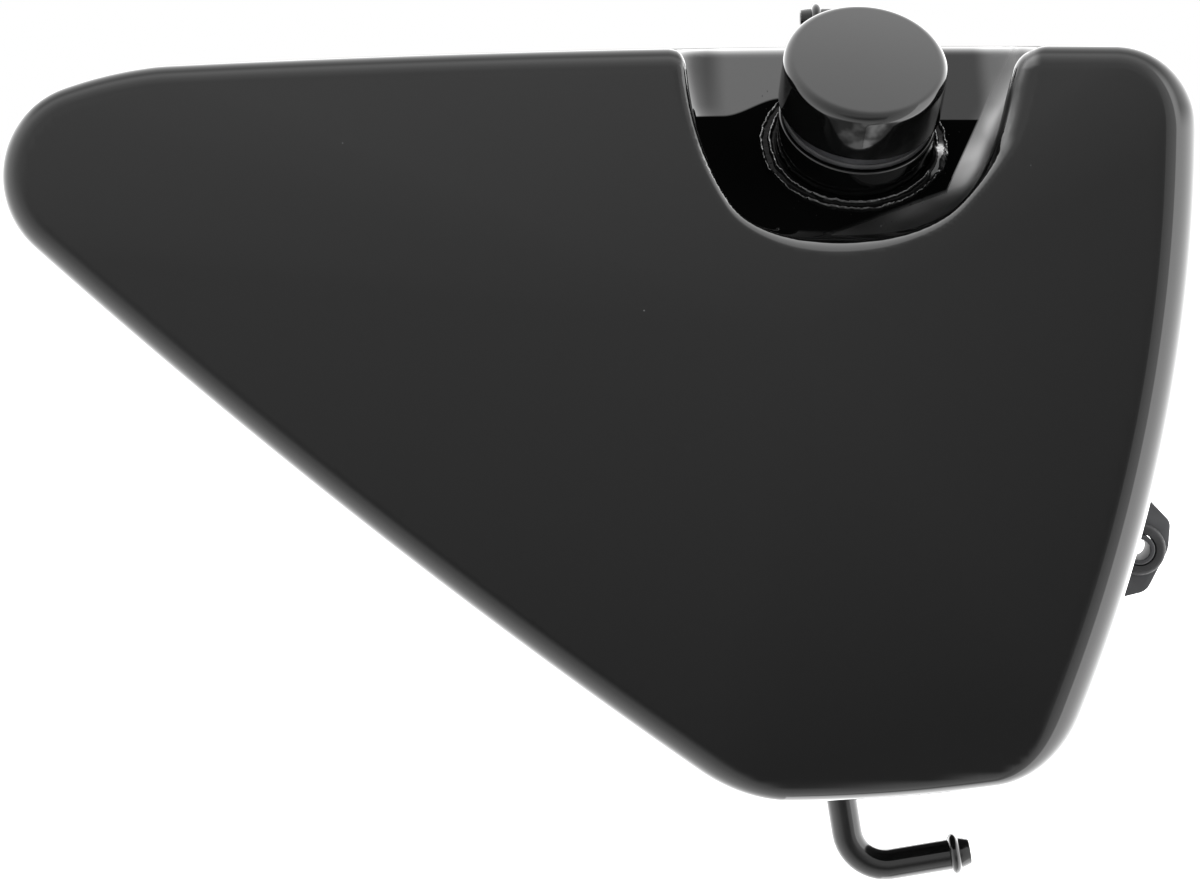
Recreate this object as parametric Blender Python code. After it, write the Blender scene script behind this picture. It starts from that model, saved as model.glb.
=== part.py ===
"""Side-mounted motorcycle fuel tank with a screw filler cap, in metres with Z up.

+X points to the rear of the machine, +Y inboard (to the frame) and +Z up. The origin is the centre
of the rear tab's bolt hole, on the plane Y = 0 where the tank meets the frame.

The tank is two pressings lapped and welded near the back: a deep outer shell with a scalloped
recess for the filler neck, and a shallow back shell that carries the mounts.
"""
import math

import bmesh
import bpy
from mathutils import Matrix, Vector

MM = 0.001
GAP = 0.3 * MM                       # kept between pieces that touch on the real tank

# Side view of the tank, in X and Z and millimetres, clockwise as seen from the outboard side.
# Each side is an arc through two points that bulges outward by the third value, the front edge is
# rounded over the fourth, and the corner after the side has the fifth as its radius.
SIDES = (
    ((-280.4, 152.9), (-60.4, 158.0), 1.26, 9.0, 25.3),      # top
    ((3.9, 122.2), (-26.5, -35.8), 6.87, 15.0, 32.2),        # rear
    ((-60.4, -60.4), (-110.4, -63.9), 0.66, 11.0, 47.2),     # bottom
    ((-140.4, -56.0), (-330.4, 94.5), 3.65, 11.0, 27.7),     # lower front
    ((-327.9, 145.0), (-302.4, 151.5), 0.7, 8.0, 60.0),     # shoulder over the nose
)
FACE_CENTRE = (-115.0 * MM, 75.0 * MM)   # where the crowned faces are highest, in X and Z

# Depth of the tank, along Y
EDGE_PLANE_Y = -94.0 * MM            # where the outer shell is widest
EDGE_DEPTH = 12.0 * MM               # depth of the rounded front edge
FACE_CROWN = 3.0 * MM
SEAM_Y = -28.0 * MM                  # the outer shell's rim
BACK_Y = -12.0 * MM                  # the back shell's flat face
BACK_EDGE_DEPTH = 12.0 * MM
BACK_EDGE_WIDTH = 12.0 * MM
LAP = 5.0 * MM                       # how far the back shell's skirt goes inside the outer shell
SHEET = 1.5 * MM

# Filler recess and neck. Heights run along the neck's axis from the recess floor.
RECESS_CENTRE = Vector((-95.8, -75.6, 129.0)) * MM
NECK_CENTRE = Vector((-95.3, -75.6, 129.0)) * MM
NECK_TILT = math.radians(44.2)       # from upright towards the outboard side
NECK_LEAN = math.radians(3.6)        # from there towards the rear
RECESS_RADIUS = 48.0 * MM
RECESS_FLOOR_ROUND = 10.0 * MM
RECESS_DRAFT = math.radians(2.5)
RECESS_REACH = 75.0 * MM
RECESS_RUN_OUT = 30.0 * MM           # how far its sides run straight up the floor to the top
RECESS_SEGMENTS = 44
NECK_RADIUS = 23.2 * MM
NECK_BORE = 21.6 * MM
NECK_FOOT = -4.0 * MM
NECK_TOP = 11.3 * MM

# Screw thread of the cap
PITCH = 4.0 * MM
THREAD_TURNS = 1.5
THREAD_WIDTH = 1.2 * MM
THREAD_START = 2.2 * MM
NECK_THREAD_TIP = 20.4 * MM
PLUG_THREAD_TIP = 21.1 * MM
PLUG_RADIUS = 19.6 * MM
THREAD_ROOT = 0.5 * MM               # how deep a ridge is sunk in its wall

# Cap
GASKET_THICKNESS = 2.0 * MM
BAND_RADIUS = 22.3 * MM
BAND_BOTTOM = NECK_TOP + 2 * GAP + GASKET_THICKNESS
PLUG_BOTTOM = 1.0 * MM
PLUG_WALL = 2.0 * MM
COVER_RADIUS = 24.05 * MM
COVER_BOTTOM = 17.4 * MM
COVER_TOP = 33.7 * MM
COVER_EDGE = 3.0 * MM
COVER_WALL = 1.2 * MM
COVER_DOME = 0.6 * MM
HEAD_TOP = 25.0 * MM
VALVE_BORE = 6.4 * MM
VALVE_BOSS = 8.2 * MM
BOSS_BOTTOM = 4.0 * MM
VENT_HOLE = 2.2 * MM
VALVE_TOP = 13.5 * MM
VALVE_DISC = 1.5 * MM
VALVE_RADIUS = 5.6 * MM
VALVE_STEM = 1.4 * MM
STEM_BOTTOM = 5.2 * MM
SPRING_RADIUS = 3.9 * MM
SPRING_WIRE = 0.45 * MM
SPRING_TURNS = 3.5
RETAINER_TOP = 6.5 * MM
RETAINER_THICKNESS = 2.0 * MM
RETAINER_HOLE = 2.0 * MM

# Outlet and vent pipes: a straight run, a bend and a straight run with a hose bead near its tip
OUTLET_START = Vector((-100.8, -64.0, -46.0)) * MM
OUTLET_CORNER = Vector((-93.2, -64.0, -92.4)) * MM
OUTLET_END = Vector((-57.6, -64.0, -86.4)) * MM
OUTLET_BEND = 12.0 * MM
OUTLET_RADIUS = 4.76 * MM
OUTLET_BORE = 3.1 * MM
OUTLET_TIP = 3.95 * MM
VENT_START = Vector((-92.9, -38.5, 150.0)) * MM
VENT_CORNER = Vector((-92.9, -38.5, 166.4)) * MM
VENT_END = Vector((-109.3, -38.5, 166.4)) * MM
VENT_BEND = 6.5 * MM
VENT_RADIUS = 3.2 * MM
VENT_BORE = 1.9 * MM
VENT_TIP = 2.75 * MM
BEAD_HEIGHT = 1.5 * MM
BEAD_WIDTH = 2.4 * MM
TIP_LENGTH = 3.4 * MM

# Strainer over the outlet, inside the tank
STRAINER_RADIUS = 6.6 * MM
STRAINER_HEIGHT = 34.0 * MM
STRAINER_WALL = 0.8 * MM
STRAINER_SLOT = 2.4 * MM

# Baffle across the tank
BAFFLE_X = -190.0 * MM
BAFFLE_THICKNESS = 1.2 * MM
BAFFLE_CLEARANCE = 1.2 * MM
BAFFLE_HOLES = ((-84.0, 126.0), (-38.0, 126.0), (-84.0, 34.0), (-38.0, 34.0), (-61.0, 80.0))
BAFFLE_HOLE_RADIUS = 11.0 * MM

# Rear tab: outline in X and Z with a corner radius at each point, in millimetres
TAB_OUTLINE = (
    (-48.0, 24.0, 6.0), (2.6, 16.2, 4.0), (9.9, 8.6, 4.0),
    (9.3, -0.2, 9.0), (2.6, -13.6, 5.0), (-48.0, -26.0, 6.0),
)
TAB_THICKNESS = 3.0 * MM
TAB_HOLE = 6.6 * MM
GROMMET_RADIUS = 8.3 * MM
GROMMET_GROOVE = 6.3 * MM
GROMMET_LIP = 2.2 * MM
SLEEVE_RADIUS = 4.75 * MM
SLEEVE_BORE = 3.25 * MM

# Rubber-bonded studs on the back shell, at X and Z in millimetres
STUD_PLACES = {"front": (-286.0, 118.0), "lower": (-96.0, -30.0)}
BUNG_RADIUS = 10.0 * MM
BUNG_FLANGE = 1.8 * MM
BUNG_SHANK = 5.7 * MM
BUNG_DEPTH = 14.0 * MM
BOBBIN_RADIUS = 11.0 * MM
BOBBIN_WAIST = 9.6 * MM
STUD_PLATE = 1.6 * MM
STUD_RADIUS = 3.0 * MM
STUD_LENGTH = 16.0 * MM

# Colours (linear RGB), metallic and roughness
FINISHES = {
    "black_enamel": ((0.012, 0.013, 0.013), 0.0, 0.12),
    "weld_enamel": ((0.014, 0.015, 0.015), 0.0, 0.25),
    "bare_steel": ((0.42, 0.42, 0.43), 1.0, 0.38),
    "zinc_steel": ((0.55, 0.56, 0.58), 1.0, 0.30),
    "tab_steel": ((0.020, 0.021, 0.022), 0.0, 0.45),
    "black_rubber": ((0.012, 0.012, 0.012), 0.0, 0.70),
    "black_plastic": ((0.015, 0.015, 0.016), 0.0, 0.40),
}
TURNED_SEGMENTS = 40
PIPE_SEGMENTS = 14


def clear_scene():
    for old in list(bpy.data.objects):
        bpy.data.objects.remove(old, do_unlink=True)


def material(name):
    """The named finish as a Principled BSDF, made once."""
    found = bpy.data.materials.get(name)
    if found:
        return found
    colour, metallic, roughness = FINISHES[name]
    made = bpy.data.materials.new(name)
    made.use_nodes = True
    shader = made.node_tree.nodes["Principled BSDF"]
    shader.inputs["Base Color"].default_value = (*colour, 1.0)
    shader.inputs["Metallic"].default_value = metallic
    shader.inputs["Roughness"].default_value = roughness
    return made


def new_object(name, mesh, finish=None, parent=None):
    thing = bpy.data.objects.new(name, mesh)
    bpy.context.scene.collection.objects.link(thing)
    thing.parent = parent
    if finish:
        mesh.materials.append(material(finish))
        mesh.shade_smooth()
        mesh.set_sharp_from_angle(angle=math.radians(35.0))
    return thing


def new_cutter(name, mesh, parent=None):
    thing = new_object(name, mesh, parent=parent)
    thing.hide_render = True
    thing.display_type = "WIRE"
    return thing


def boolean(target, tool, operation="DIFFERENCE"):
    step = target.modifiers.new(tool.name, "BOOLEAN")
    step.operation = operation
    step.solver = "EXACT"
    step.object = tool


def new_empty(name, matrix, parent=None):
    empty = bpy.data.objects.new(name, None)
    bpy.context.scene.collection.objects.link(empty)
    empty.parent = parent
    empty.matrix_local = matrix
    return empty


def skin(name, rings, poles=(None, None), wrap=False):
    """A closed mesh through rings of points. Its ends are flat caps, fans to the poles, or joined."""
    work = bmesh.new()
    rows = [[work.verts.new(point) for point in ring] for ring in rings]
    pairs = list(zip(rows, rows[1:]))
    if wrap:
        pairs.append((rows[-1], rows[0]))
    for near, far in pairs:
        for i in range(len(near)):
            j = (i + 1) % len(near)
            work.faces.new((near[i], near[j], far[j], far[i]))
    if not wrap:
        for row, pole in ((rows[0], poles[0]), (rows[-1], poles[1])):
            if pole is None:
                work.faces.new(row)
                continue
            tip = work.verts.new(pole)
            for i in range(len(row)):
                work.faces.new((row[i], row[(i + 1) % len(row)], tip))
    bmesh.ops.recalc_face_normals(work, faces=work.faces)
    if work.calc_volume(signed=True) < 0:
        bmesh.ops.reverse_faces(work, faces=work.faces)
    mesh = bpy.data.meshes.new(name)
    work.to_mesh(mesh)
    work.free()
    return mesh


def turned(name, profile, segments=TURNED_SEGMENTS):
    """Turn a profile of (radius, height) about Z. One that starts and ends on the axis is solid
    through its middle, and any other is a ring whose profile closes on itself."""
    on_axis = profile[0][0] == 0.0
    stations = profile[1:-1] if on_axis else profile
    rings = []
    for radius, height in stations:
        turns = (2 * math.pi * i / segments for i in range(segments))
        rings.append([Vector((radius * math.cos(a), radius * math.sin(a), height)) for a in turns])
    if not on_axis:
        return skin(name, rings, wrap=True)
    poles = (Vector((0, 0, profile[0][1])), Vector((0, 0, profile[-1][1])))
    return skin(name, rings, poles=poles)


def quarter(centre, radii, start, end, steps):
    """Points (radius, height) on an ellipse about a centre, from one angle in degrees to another."""
    points = []
    for i in range(steps + 1):
        a = math.radians(start + (end - start) * i / steps)
        points.append((centre[0] + radii[0] * math.cos(a), centre[1] + radii[1] * math.sin(a)))
    return points


# ---- The tank's outline ----

def side_circle(start, end, bulge):
    """Centre and radius of the arc from start to end that bulges to the left by the given height."""
    start, end = Vector(start) * MM, Vector(end) * MM
    along = end - start
    left = Vector((-along.y, along.x)).normalized()
    height = bulge * MM
    radius = (along.length ** 2 / 4 + height ** 2) / (2 * height)
    return (start + end) / 2 - left * (radius - height), radius


def corner_centre(first, second, radius, near):
    """Centre of the fillet that touches two circles from inside, on the side of a point."""
    (centre_a, radius_a), (centre_b, radius_b) = first, second
    reach_a, reach_b = radius_a - radius, radius_b - radius
    between = centre_b - centre_a
    along = (between.length_squared + reach_a ** 2 - reach_b ** 2) / (2 * between.length)
    away = math.sqrt(reach_a ** 2 - along ** 2)
    unit = between.normalized()
    across = Vector((-unit.y, unit.x))
    both = [centre_a + unit * along + across * away * sign for sign in (1, -1)]
    return min(both, key=lambda point: (point - near).length)


def angle_of(vector):
    return math.atan2(vector.y, vector.x)


def clockwise(first, last):
    """How far it is clockwise from one angle to another, or zero where they all but coincide."""
    return max(0.0, (first - last + math.pi) % (2 * math.pi) - math.pi)


def outline_arcs():
    """The outline as arcs: centre, radius, first angle, turn, edge width at its start and end."""
    circles = [side_circle(*side[:3]) for side in SIDES]
    count = len(SIDES)
    corners = []
    for i, side in enumerate(SIDES):
        after = SIDES[(i + 1) % count]
        near = (Vector(side[1]) + Vector(after[0])) * MM / 2
        corners.append(corner_centre(circles[i], circles[(i + 1) % count], side[4] * MM, near))
    arcs = []
    for i, side in enumerate(SIDES):
        centre, radius = circles[i]
        after = (i + 1) % count
        first = angle_of(corners[i - 1] - centre)
        last = angle_of(corners[i] - centre)
        width, next_width = side[3] * MM, SIDES[after][3] * MM
        arcs.append((centre, radius, first, clockwise(first, last), width, width))
        turn = clockwise(last, angle_of(corners[i] - circles[after][0]))
        if turn > 0.001:
            arcs.append((corners[i], side[4] * MM, last, turn, width, next_width))
    return arcs


def outline_stations(longest=28.0 * MM, widest=math.radians(14.0)):
    """Points on the outline: place, outward direction and edge width, clockwise from the top."""
    stations = []
    for centre, radius, first, turn, width_a, width_b in outline_arcs():
        steps = max(1, math.ceil(turn * radius / longest), math.ceil(turn / widest))
        for i in range(steps):
            share = i / steps
            angle = first - turn * share
            outward = Vector((math.cos(angle), math.sin(angle)))
            smooth = share * share * (3 - 2 * share)
            width = width_a + (width_b - width_a) * smooth
            stations.append((centre + outward * radius, outward, width))
    return stations


def outline_ring(stations, depth, inset, edge_share=0.0, shrink=0.0):
    """The outline at a depth along Y, moved in by an inset and by a share of the edge width."""
    ring = []
    for place, outward, width in stations:
        point = place - outward * (inset + (width - shrink) * edge_share)
        ring.append(Vector((point.x, depth, point.y)))
    return ring


def crown_rings(ring, depth, height, shares=(0.72, 0.4)):
    """Rings that carry a face from its edge to its highest point, and that point."""
    middle = Vector((FACE_CENTRE[0], 0, FACE_CENTRE[1]))
    rings = []
    for share in shares:
        level = depth + height * (1 - share ** 2)
        rings.append([Vector((middle.x + (p.x - middle.x) * share, level,
                              middle.z + (p.z - middle.z) * share)) for p in ring])
    return rings, Vector((middle.x, depth + height, middle.z))


def front_rings(stations, inset, steps=4):
    """Rings of the tank's front, from the highest point of its face to its widest plane."""
    depth = EDGE_DEPTH - inset
    edge = []
    for i in range(steps + 1):
        angle = math.pi / 2 * i / steps
        level = EDGE_PLANE_Y - depth * math.sin(angle)
        edge.append(outline_ring(stations, level, inset, 1 - math.cos(angle), inset))
    crown, pole = crown_rings(edge[-1], EDGE_PLANE_Y - depth, -FACE_CROWN)
    return crown[::-1] + edge[::-1], pole


# ---- Sheet metal ----

def recess_profile(grow=0.0):
    """Profile of the recess cutter, or of one that is larger by the sheet's thickness."""
    floor = -grow
    rounding = RECESS_FLOOR_ROUND + grow
    wall = RECESS_RADIUS + grow
    steps = 4
    corner = quarter((wall - rounding, floor + rounding), (rounding, rounding), -90, 0, steps)
    top_radius = wall + (RECESS_REACH - rounding) * math.tan(RECESS_DRAFT)
    return [(0.0, floor), *corner, (top_radius, RECESS_REACH), (0.0, RECESS_REACH)]


def recess_cutter(name, recess_axis, grow=0.0):
    """A turned cutter whose upper half is drawn out, so that the recess is open through the top."""
    mesh = turned(name, recess_profile(grow), RECESS_SEGMENTS)
    for vertex in mesh.vertices:
        if vertex.co.y > GAP:
            vertex.co.y += RECESS_RUN_OUT
    return new_cutter(name, mesh, recess_axis)


def make_outer_shell(stations, recess_axis, neck_axis):
    rings, pole = front_rings(stations, 0.0)
    rings.append(outline_ring(stations, SEAM_Y, 0.0))
    shell = new_object("outer_shell", skin("outer_shell", rings, poles=(pole, None)), "black_enamel")
    boolean(shell, recess_cutter("recess_cut", recess_axis))

    rings, pole = front_rings(stations, SHEET)
    rings.append(outline_ring(stations, SEAM_Y + 10 * MM, SHEET))
    cavity = new_cutter("cavity", skin("cavity", rings, poles=(pole, None)))
    boolean(cavity, recess_cutter("recess_wide", recess_axis, SHEET))
    boolean(shell, cavity)

    neck_hole = turned("neck_hole", rod_profile(NECK_RADIUS + GAP, -12 * MM, 12 * MM))
    boolean(shell, new_cutter("neck_hole", neck_hole, neck_axis))
    lean = OUTLET_CORNER - OUTLET_START
    add_round_hole(shell, "outlet_hole", OUTLET_START, lean, OUTLET_RADIUS + GAP, 30 * MM)
    upright = VENT_CORNER - VENT_START
    add_round_hole(shell, "vent_hole", VENT_START, upright, VENT_RADIUS + GAP, 14 * MM)


def rod_profile(radius, bottom, top):
    return [(0.0, bottom), (radius, bottom), (radius, top), (0.0, top)]


def add_round_hole(target, name, start, direction, radius, length):
    place = Matrix.Translation(start) @ direction.to_track_quat("Z", "Y").to_matrix().to_4x4()
    hole = new_cutter(name, turned(name, rod_profile(radius, 0.0, length), 24))
    hole.matrix_world = place
    boolean(target, hole)


def back_rings(stations, inset, steps=3):
    """Rings of the back shell's outside or inside, from its skirt's rim to its flat back."""
    start_inset = SHEET + GAP + inset
    depth = BACK_EDGE_DEPTH - inset
    width = BACK_EDGE_WIDTH - inset
    shoulder = BACK_Y - BACK_EDGE_DEPTH
    rings = [outline_ring(stations, SEAM_Y - LAP, start_inset)]
    for i in range(steps + 1):
        angle = math.pi / 2 * i / steps
        level = shoulder + depth * math.sin(angle)
        rings.append(outline_ring(stations, level, start_inset + width * (1 - math.cos(angle))))
    return rings


def make_back_shell(stations):
    outside = back_rings(stations, 0.0)
    inside = back_rings(stations, SHEET)
    middle = Vector((FACE_CENTRE[0], BACK_Y, FACE_CENTRE[1]))
    poles = (middle, middle - Vector((0, SHEET, 0)))
    mesh = skin("back_shell", outside[::-1] + inside, poles=poles)
    shell = new_object("back_shell", mesh, "black_enamel")
    for name, (x, z) in STUD_PLACES.items():
        start = Vector((x * MM, BACK_Y - 8 * MM, z * MM))
        add_round_hole(shell, name + "_bung_hole", start, Vector((0, 1, 0)), BUNG_SHANK + GAP, 16 * MM)


def make_seam_weld(stations):
    """The fillet weld in the step between the outer shell's rim and the back shell."""
    near, far = SEAM_Y + GAP, SEAM_Y + 2.4 * MM
    rings = [
        outline_ring(stations, near, 0.1 * MM),
        outline_ring(stations, near, SHEET),
        outline_ring(stations, far, SHEET),
        outline_ring(stations, far, 0.9 * MM),
    ]
    new_object("seam_weld", skin("seam_weld", rings, wrap=True), "weld_enamel")


def height_range(stations, x):
    """Lowest and highest Z of the outline at an X."""
    heights = []
    for (a, _, _), (b, _, _) in zip(stations, stations[1:] + stations[:1]):
        if (a.x - x) * (b.x - x) <= 0 and a.x != b.x:
            heights.append(a.y + (b.y - a.y) * (x - a.x) / (b.x - a.x))
    return min(heights), max(heights)


def rounded_polygon(corners, steps=4):
    """Points of a polygon whose corners are (a, b, radius) and become arcs."""
    points = []
    count = len(corners)
    for i, (a, b, radius) in enumerate(corners):
        corner = Vector((a, b))
        before = (Vector(corners[i - 1][:2]) - corner).normalized()
        after = (Vector(corners[(i + 1) % count][:2]) - corner).normalized()
        half = before.angle(after) / 2
        middle = corner + (before + after).normalized() * radius / math.sin(half)
        first = corner + before * radius / math.tan(half) - middle
        last = corner + after * radius / math.tan(half) - middle
        sweep = first.angle_signed(last)
        for k in range(steps + 1):
            turn = Matrix.Rotation(-sweep * k / steps, 2)
            points.append(middle + turn @ first)
    return points


def make_baffle(stations):
    """A pierced plate across the tank, with a flange along the back shell."""
    low, high = height_range(stations, BAFFLE_X)
    inset = SHEET + BAFFLE_CLEARANCE
    front = EDGE_PLANE_Y - EDGE_DEPTH - FACE_CROWN / 2 + inset + SHEET
    back = BACK_Y - inset
    rise = 10 * MM
    floor = low + inset + 5 * MM
    corners = (
        (front, floor, rise), (front, high - inset - SHEET, rise),
        (back, high - inset - SHEET - 2 * MM, rise), (back, floor + 2 * MM, rise),
    )
    rings = []
    for x in (BAFFLE_X, BAFFLE_X + BAFFLE_THICKNESS):
        rings.append([Vector((x, p.x, p.y)) for p in rounded_polygon(corners)])
    plate = new_object("baffle_plate", skin("baffle_plate", rings), "bare_steel")
    for i, (y, z) in enumerate(BAFFLE_HOLES):
        start = Vector((BAFFLE_X - 5 * MM, y * MM, z * MM))
        name = "baffle_hole_%d" % (i + 1)
        add_round_hole(plate, name, start, Vector((1, 0, 0)), BAFFLE_HOLE_RADIUS, 12 * MM)


# ---- Filler neck and cap, in the neck's own frame ----

def thread_ridge(name, root, tip, start, segments=26):
    """A helical ridge from a root radius to a tip radius, with flat ends."""
    rings = []
    steps = round(segments * THREAD_TURNS)
    side = THREAD_WIDTH / 2
    for i in range(steps + 1):
        angle = 2 * math.pi * i / segments
        height = start + PITCH * i / segments
        around = Vector((math.cos(angle), math.sin(angle), 0))
        rings.append([
            around * root + Vector((0, 0, height - side)),
            around * tip + Vector((0, 0, height - side * 0.6)),
            around * tip + Vector((0, 0, height + side * 0.6)),
            around * root + Vector((0, 0, height + side)),
        ])
    return skin(name, rings)


def make_filler_neck(neck_axis):
    profile = [
        (NECK_BORE, NECK_FOOT), (NECK_RADIUS, NECK_FOOT), (NECK_RADIUS, NECK_TOP - 0.4 * MM),
        (NECK_RADIUS - 0.4 * MM, NECK_TOP), (NECK_BORE, NECK_TOP),
    ]
    neck = new_object("filler_neck", turned("filler_neck", profile), "black_enamel", neck_axis)
    ridge = thread_ridge("neck_thread", NECK_BORE + THREAD_ROOT, NECK_THREAD_TIP, THREAD_START)
    boolean(neck, new_cutter("neck_thread", ridge, neck_axis), "UNION")


def make_neck_weld(recess_axis):
    """The bead that joins the neck to the recess floor, centred on the neck."""
    shift = NECK_CENTRE.x - RECESS_CENTRE.x
    inner, outer, height = NECK_RADIUS + 2 * GAP, NECK_RADIUS + 2.6 * MM, 2.3 * MM
    profile = [
        (inner, GAP), (outer, GAP), (outer - 0.4 * MM, GAP + height * 0.5),
        (outer - 1.2 * MM, height), (inner, height + 0.2 * MM),
    ]
    weld = new_object("neck_weld", turned("neck_weld", profile), "weld_enamel", recess_axis)
    weld.location = (shift, 0, 0)


def make_cap(neck_axis):
    """The screw cap: gasket, body with its plug and valve chamber, cover and vent valve."""
    cap_axis = new_empty("cap_axis", Matrix.Identity(4), neck_axis)
    make_gasket(cap_axis)
    make_cap_body(cap_axis)
    make_cap_cover(cap_axis)
    make_vent_valve(cap_axis)


def make_gasket(cap_axis):
    low = NECK_TOP + GAP
    high = low + GASKET_THICKNESS
    inner = PLUG_RADIUS + GAP
    profile = [(inner, low), (BAND_RADIUS, low), (BAND_RADIUS, high), (inner, high)]
    new_object("cap_gasket", turned("cap_gasket", profile), "black_rubber", cap_axis)


def make_cap_body(cap_axis):
    plug_bore = PLUG_RADIUS - PLUG_WALL
    web = BAND_BOTTOM + 3.0 * MM
    head_bore = BAND_RADIUS - PLUG_WALL
    profile = [
        (VENT_HOLE, HEAD_TOP), (VENT_HOLE + PLUG_WALL, HEAD_TOP), (VENT_HOLE + PLUG_WALL, web),
        (head_bore, web), (head_bore, HEAD_TOP), (BAND_RADIUS, HEAD_TOP),
        (BAND_RADIUS, BAND_BOTTOM), (PLUG_RADIUS, BAND_BOTTOM), (PLUG_RADIUS, PLUG_BOTTOM),
        (plug_bore, PLUG_BOTTOM), (plug_bore, BAND_BOTTOM - 1.5 * MM),
        (VALVE_BOSS, BAND_BOTTOM - 1.5 * MM), (VALVE_BOSS, BOSS_BOTTOM), (VALVE_BORE, BOSS_BOTTOM),
        (VALVE_BORE, BAND_BOTTOM), (VENT_HOLE, BAND_BOTTOM),
    ]
    body = new_object("cap_body", turned("cap_body", profile), "black_plastic", cap_axis)
    start = THREAD_START + PITCH / 2
    ridge = thread_ridge("plug_thread", PLUG_RADIUS - THREAD_ROOT, PLUG_THREAD_TIP, start)
    boolean(body, new_cutter("plug_thread", ridge, cap_axis), "UNION")


def make_cap_cover(cap_axis):
    edge = COVER_RADIUS - COVER_EDGE
    inner_edge = COVER_EDGE - COVER_WALL
    outside = quarter((edge, COVER_TOP - COVER_EDGE), (COVER_EDGE, COVER_EDGE), 90, 0, 4)
    inside = quarter((edge, COVER_TOP - COVER_EDGE), (inner_edge, inner_edge), 0, 90, 2)
    profile = [
        (0.0, COVER_TOP + COVER_DOME), (edge * 0.6, COVER_TOP + COVER_DOME * 0.64), *outside,
        (COVER_RADIUS, COVER_BOTTOM), (COVER_RADIUS - COVER_WALL, COVER_BOTTOM), *inside,
        (0.0, COVER_TOP - COVER_WALL),
    ]
    new_object("cap_cover", turned("cap_cover", profile, 48), "black_enamel", cap_axis)


def make_vent_valve(cap_axis):
    """Sprung valve that lets air in as fuel leaves, in its chamber under the cap's head."""
    disc = VALVE_TOP - VALVE_DISC
    profile = [
        (0.0, VALVE_TOP), (VALVE_RADIUS, VALVE_TOP), (VALVE_RADIUS, disc), (VALVE_STEM, disc),
        (VALVE_STEM, STEM_BOTTOM), (0.0, STEM_BOTTOM),
    ]
    new_object("cap_vent_valve", turned("cap_vent_valve", profile, 20), "black_rubber", cap_axis)

    bottom = RETAINER_TOP - RETAINER_THICKNESS
    outer = VALVE_BORE - GAP
    profile = [(RETAINER_HOLE, bottom), (outer, bottom), (outer, RETAINER_TOP),
               (RETAINER_HOLE, RETAINER_TOP)]
    retainer = turned("cap_vent_retainer", profile, 20)
    new_object("cap_vent_retainer", retainer, "zinc_steel", cap_axis)

    low = RETAINER_TOP + GAP + SPRING_WIRE
    high = disc - GAP - SPRING_WIRE
    steps = round(14 * SPRING_TURNS)
    rings = []
    for i in range(steps + 1):
        angle = 2 * math.pi * SPRING_TURNS * i / steps
        around = Vector((math.cos(angle), math.sin(angle), 0))
        centre = around * SPRING_RADIUS + Vector((0, 0, low + (high - low) * i / steps))
        rings.append([centre + around * SPRING_WIRE * math.cos(a) + Vector((0, 0, SPRING_WIRE)) * math.sin(a)
                      for a in (math.pi * k / 3 for k in range(6))])
    new_object("cap_vent_spring", skin("cap_vent_spring", rings), "zinc_steel", cap_axis)


# ---- Pipes ----

def bent_line(start, corner, end, bend):
    """A function of length along a straight run, an arc and a straight run: place and heading."""
    first, second = (corner - start).normalized(), (end - corner).normalized()
    turn = first.angle(second)
    cut = bend * math.tan(turn / 2)
    run_in = (corner - start).length - cut
    arc = bend * turn
    total = run_in + arc + (end - corner).length - cut
    side = first.cross(second).normalized()

    def place(length):
        if length <= run_in:
            return start + first * length, first
        if length < run_in + arc:
            angle = (length - run_in) / bend
            heading = Matrix.Rotation(angle, 3, side) @ first
            pivot = start + first * run_in + side.cross(first) * bend
            return pivot - side.cross(heading) * bend, heading
        return end - second * (total - length), second

    return place, side, (run_in, arc, total)


def make_pipe(name, ends, bend, radius, bore, tip):
    """A hose pipe with its bead and tapered tip."""
    place, side, (run_in, arc, total) = bent_line(*ends, bend)
    bead = total - TIP_LENGTH - BEAD_WIDTH
    outer = [(0.0, radius), (run_in, radius)]
    outer += [(run_in + arc * i / 6, radius) for i in range(1, 7)]
    for share, rise in ((0.0, 0.0), (0.2, 0.7), (0.5, 1.0), (0.8, 0.7), (1.0, 0.0)):
        outer.append((bead + BEAD_WIDTH * share, radius + BEAD_HEIGHT * rise))
    outer.append((total, tip))
    inner = [(total, bore)] + [(run_in + arc * i / 6, bore) for i in range(6, -1, -1)] + [(0.0, bore)]
    rings = []
    for length, size in outer + inner:
        centre, heading = place(length)
        across = side.cross(heading)
        turns = (2 * math.pi * k / PIPE_SEGMENTS for k in range(PIPE_SEGMENTS))
        rings.append([centre + (side * math.cos(a) + across * math.sin(a)) * size for a in turns])
    new_object(name, skin(name, rings, wrap=True), "black_enamel")


def make_collar(name, start, direction, at, radius, height, width):
    """A weld collar round a pipe, at a height above the pipe's start."""
    inner, outer = radius + GAP, radius + width
    profile = [(inner, 0.0), (outer, 0.0), (outer - width * 0.3, height * 0.6), (inner, height)]
    heading = direction.normalized()
    collar = new_object(name, turned(name, profile, 24), "weld_enamel")
    collar.matrix_world = (Matrix.Translation(start + heading * at)
                           @ heading.to_track_quat("Z", "Y").to_matrix().to_4x4())


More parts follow.
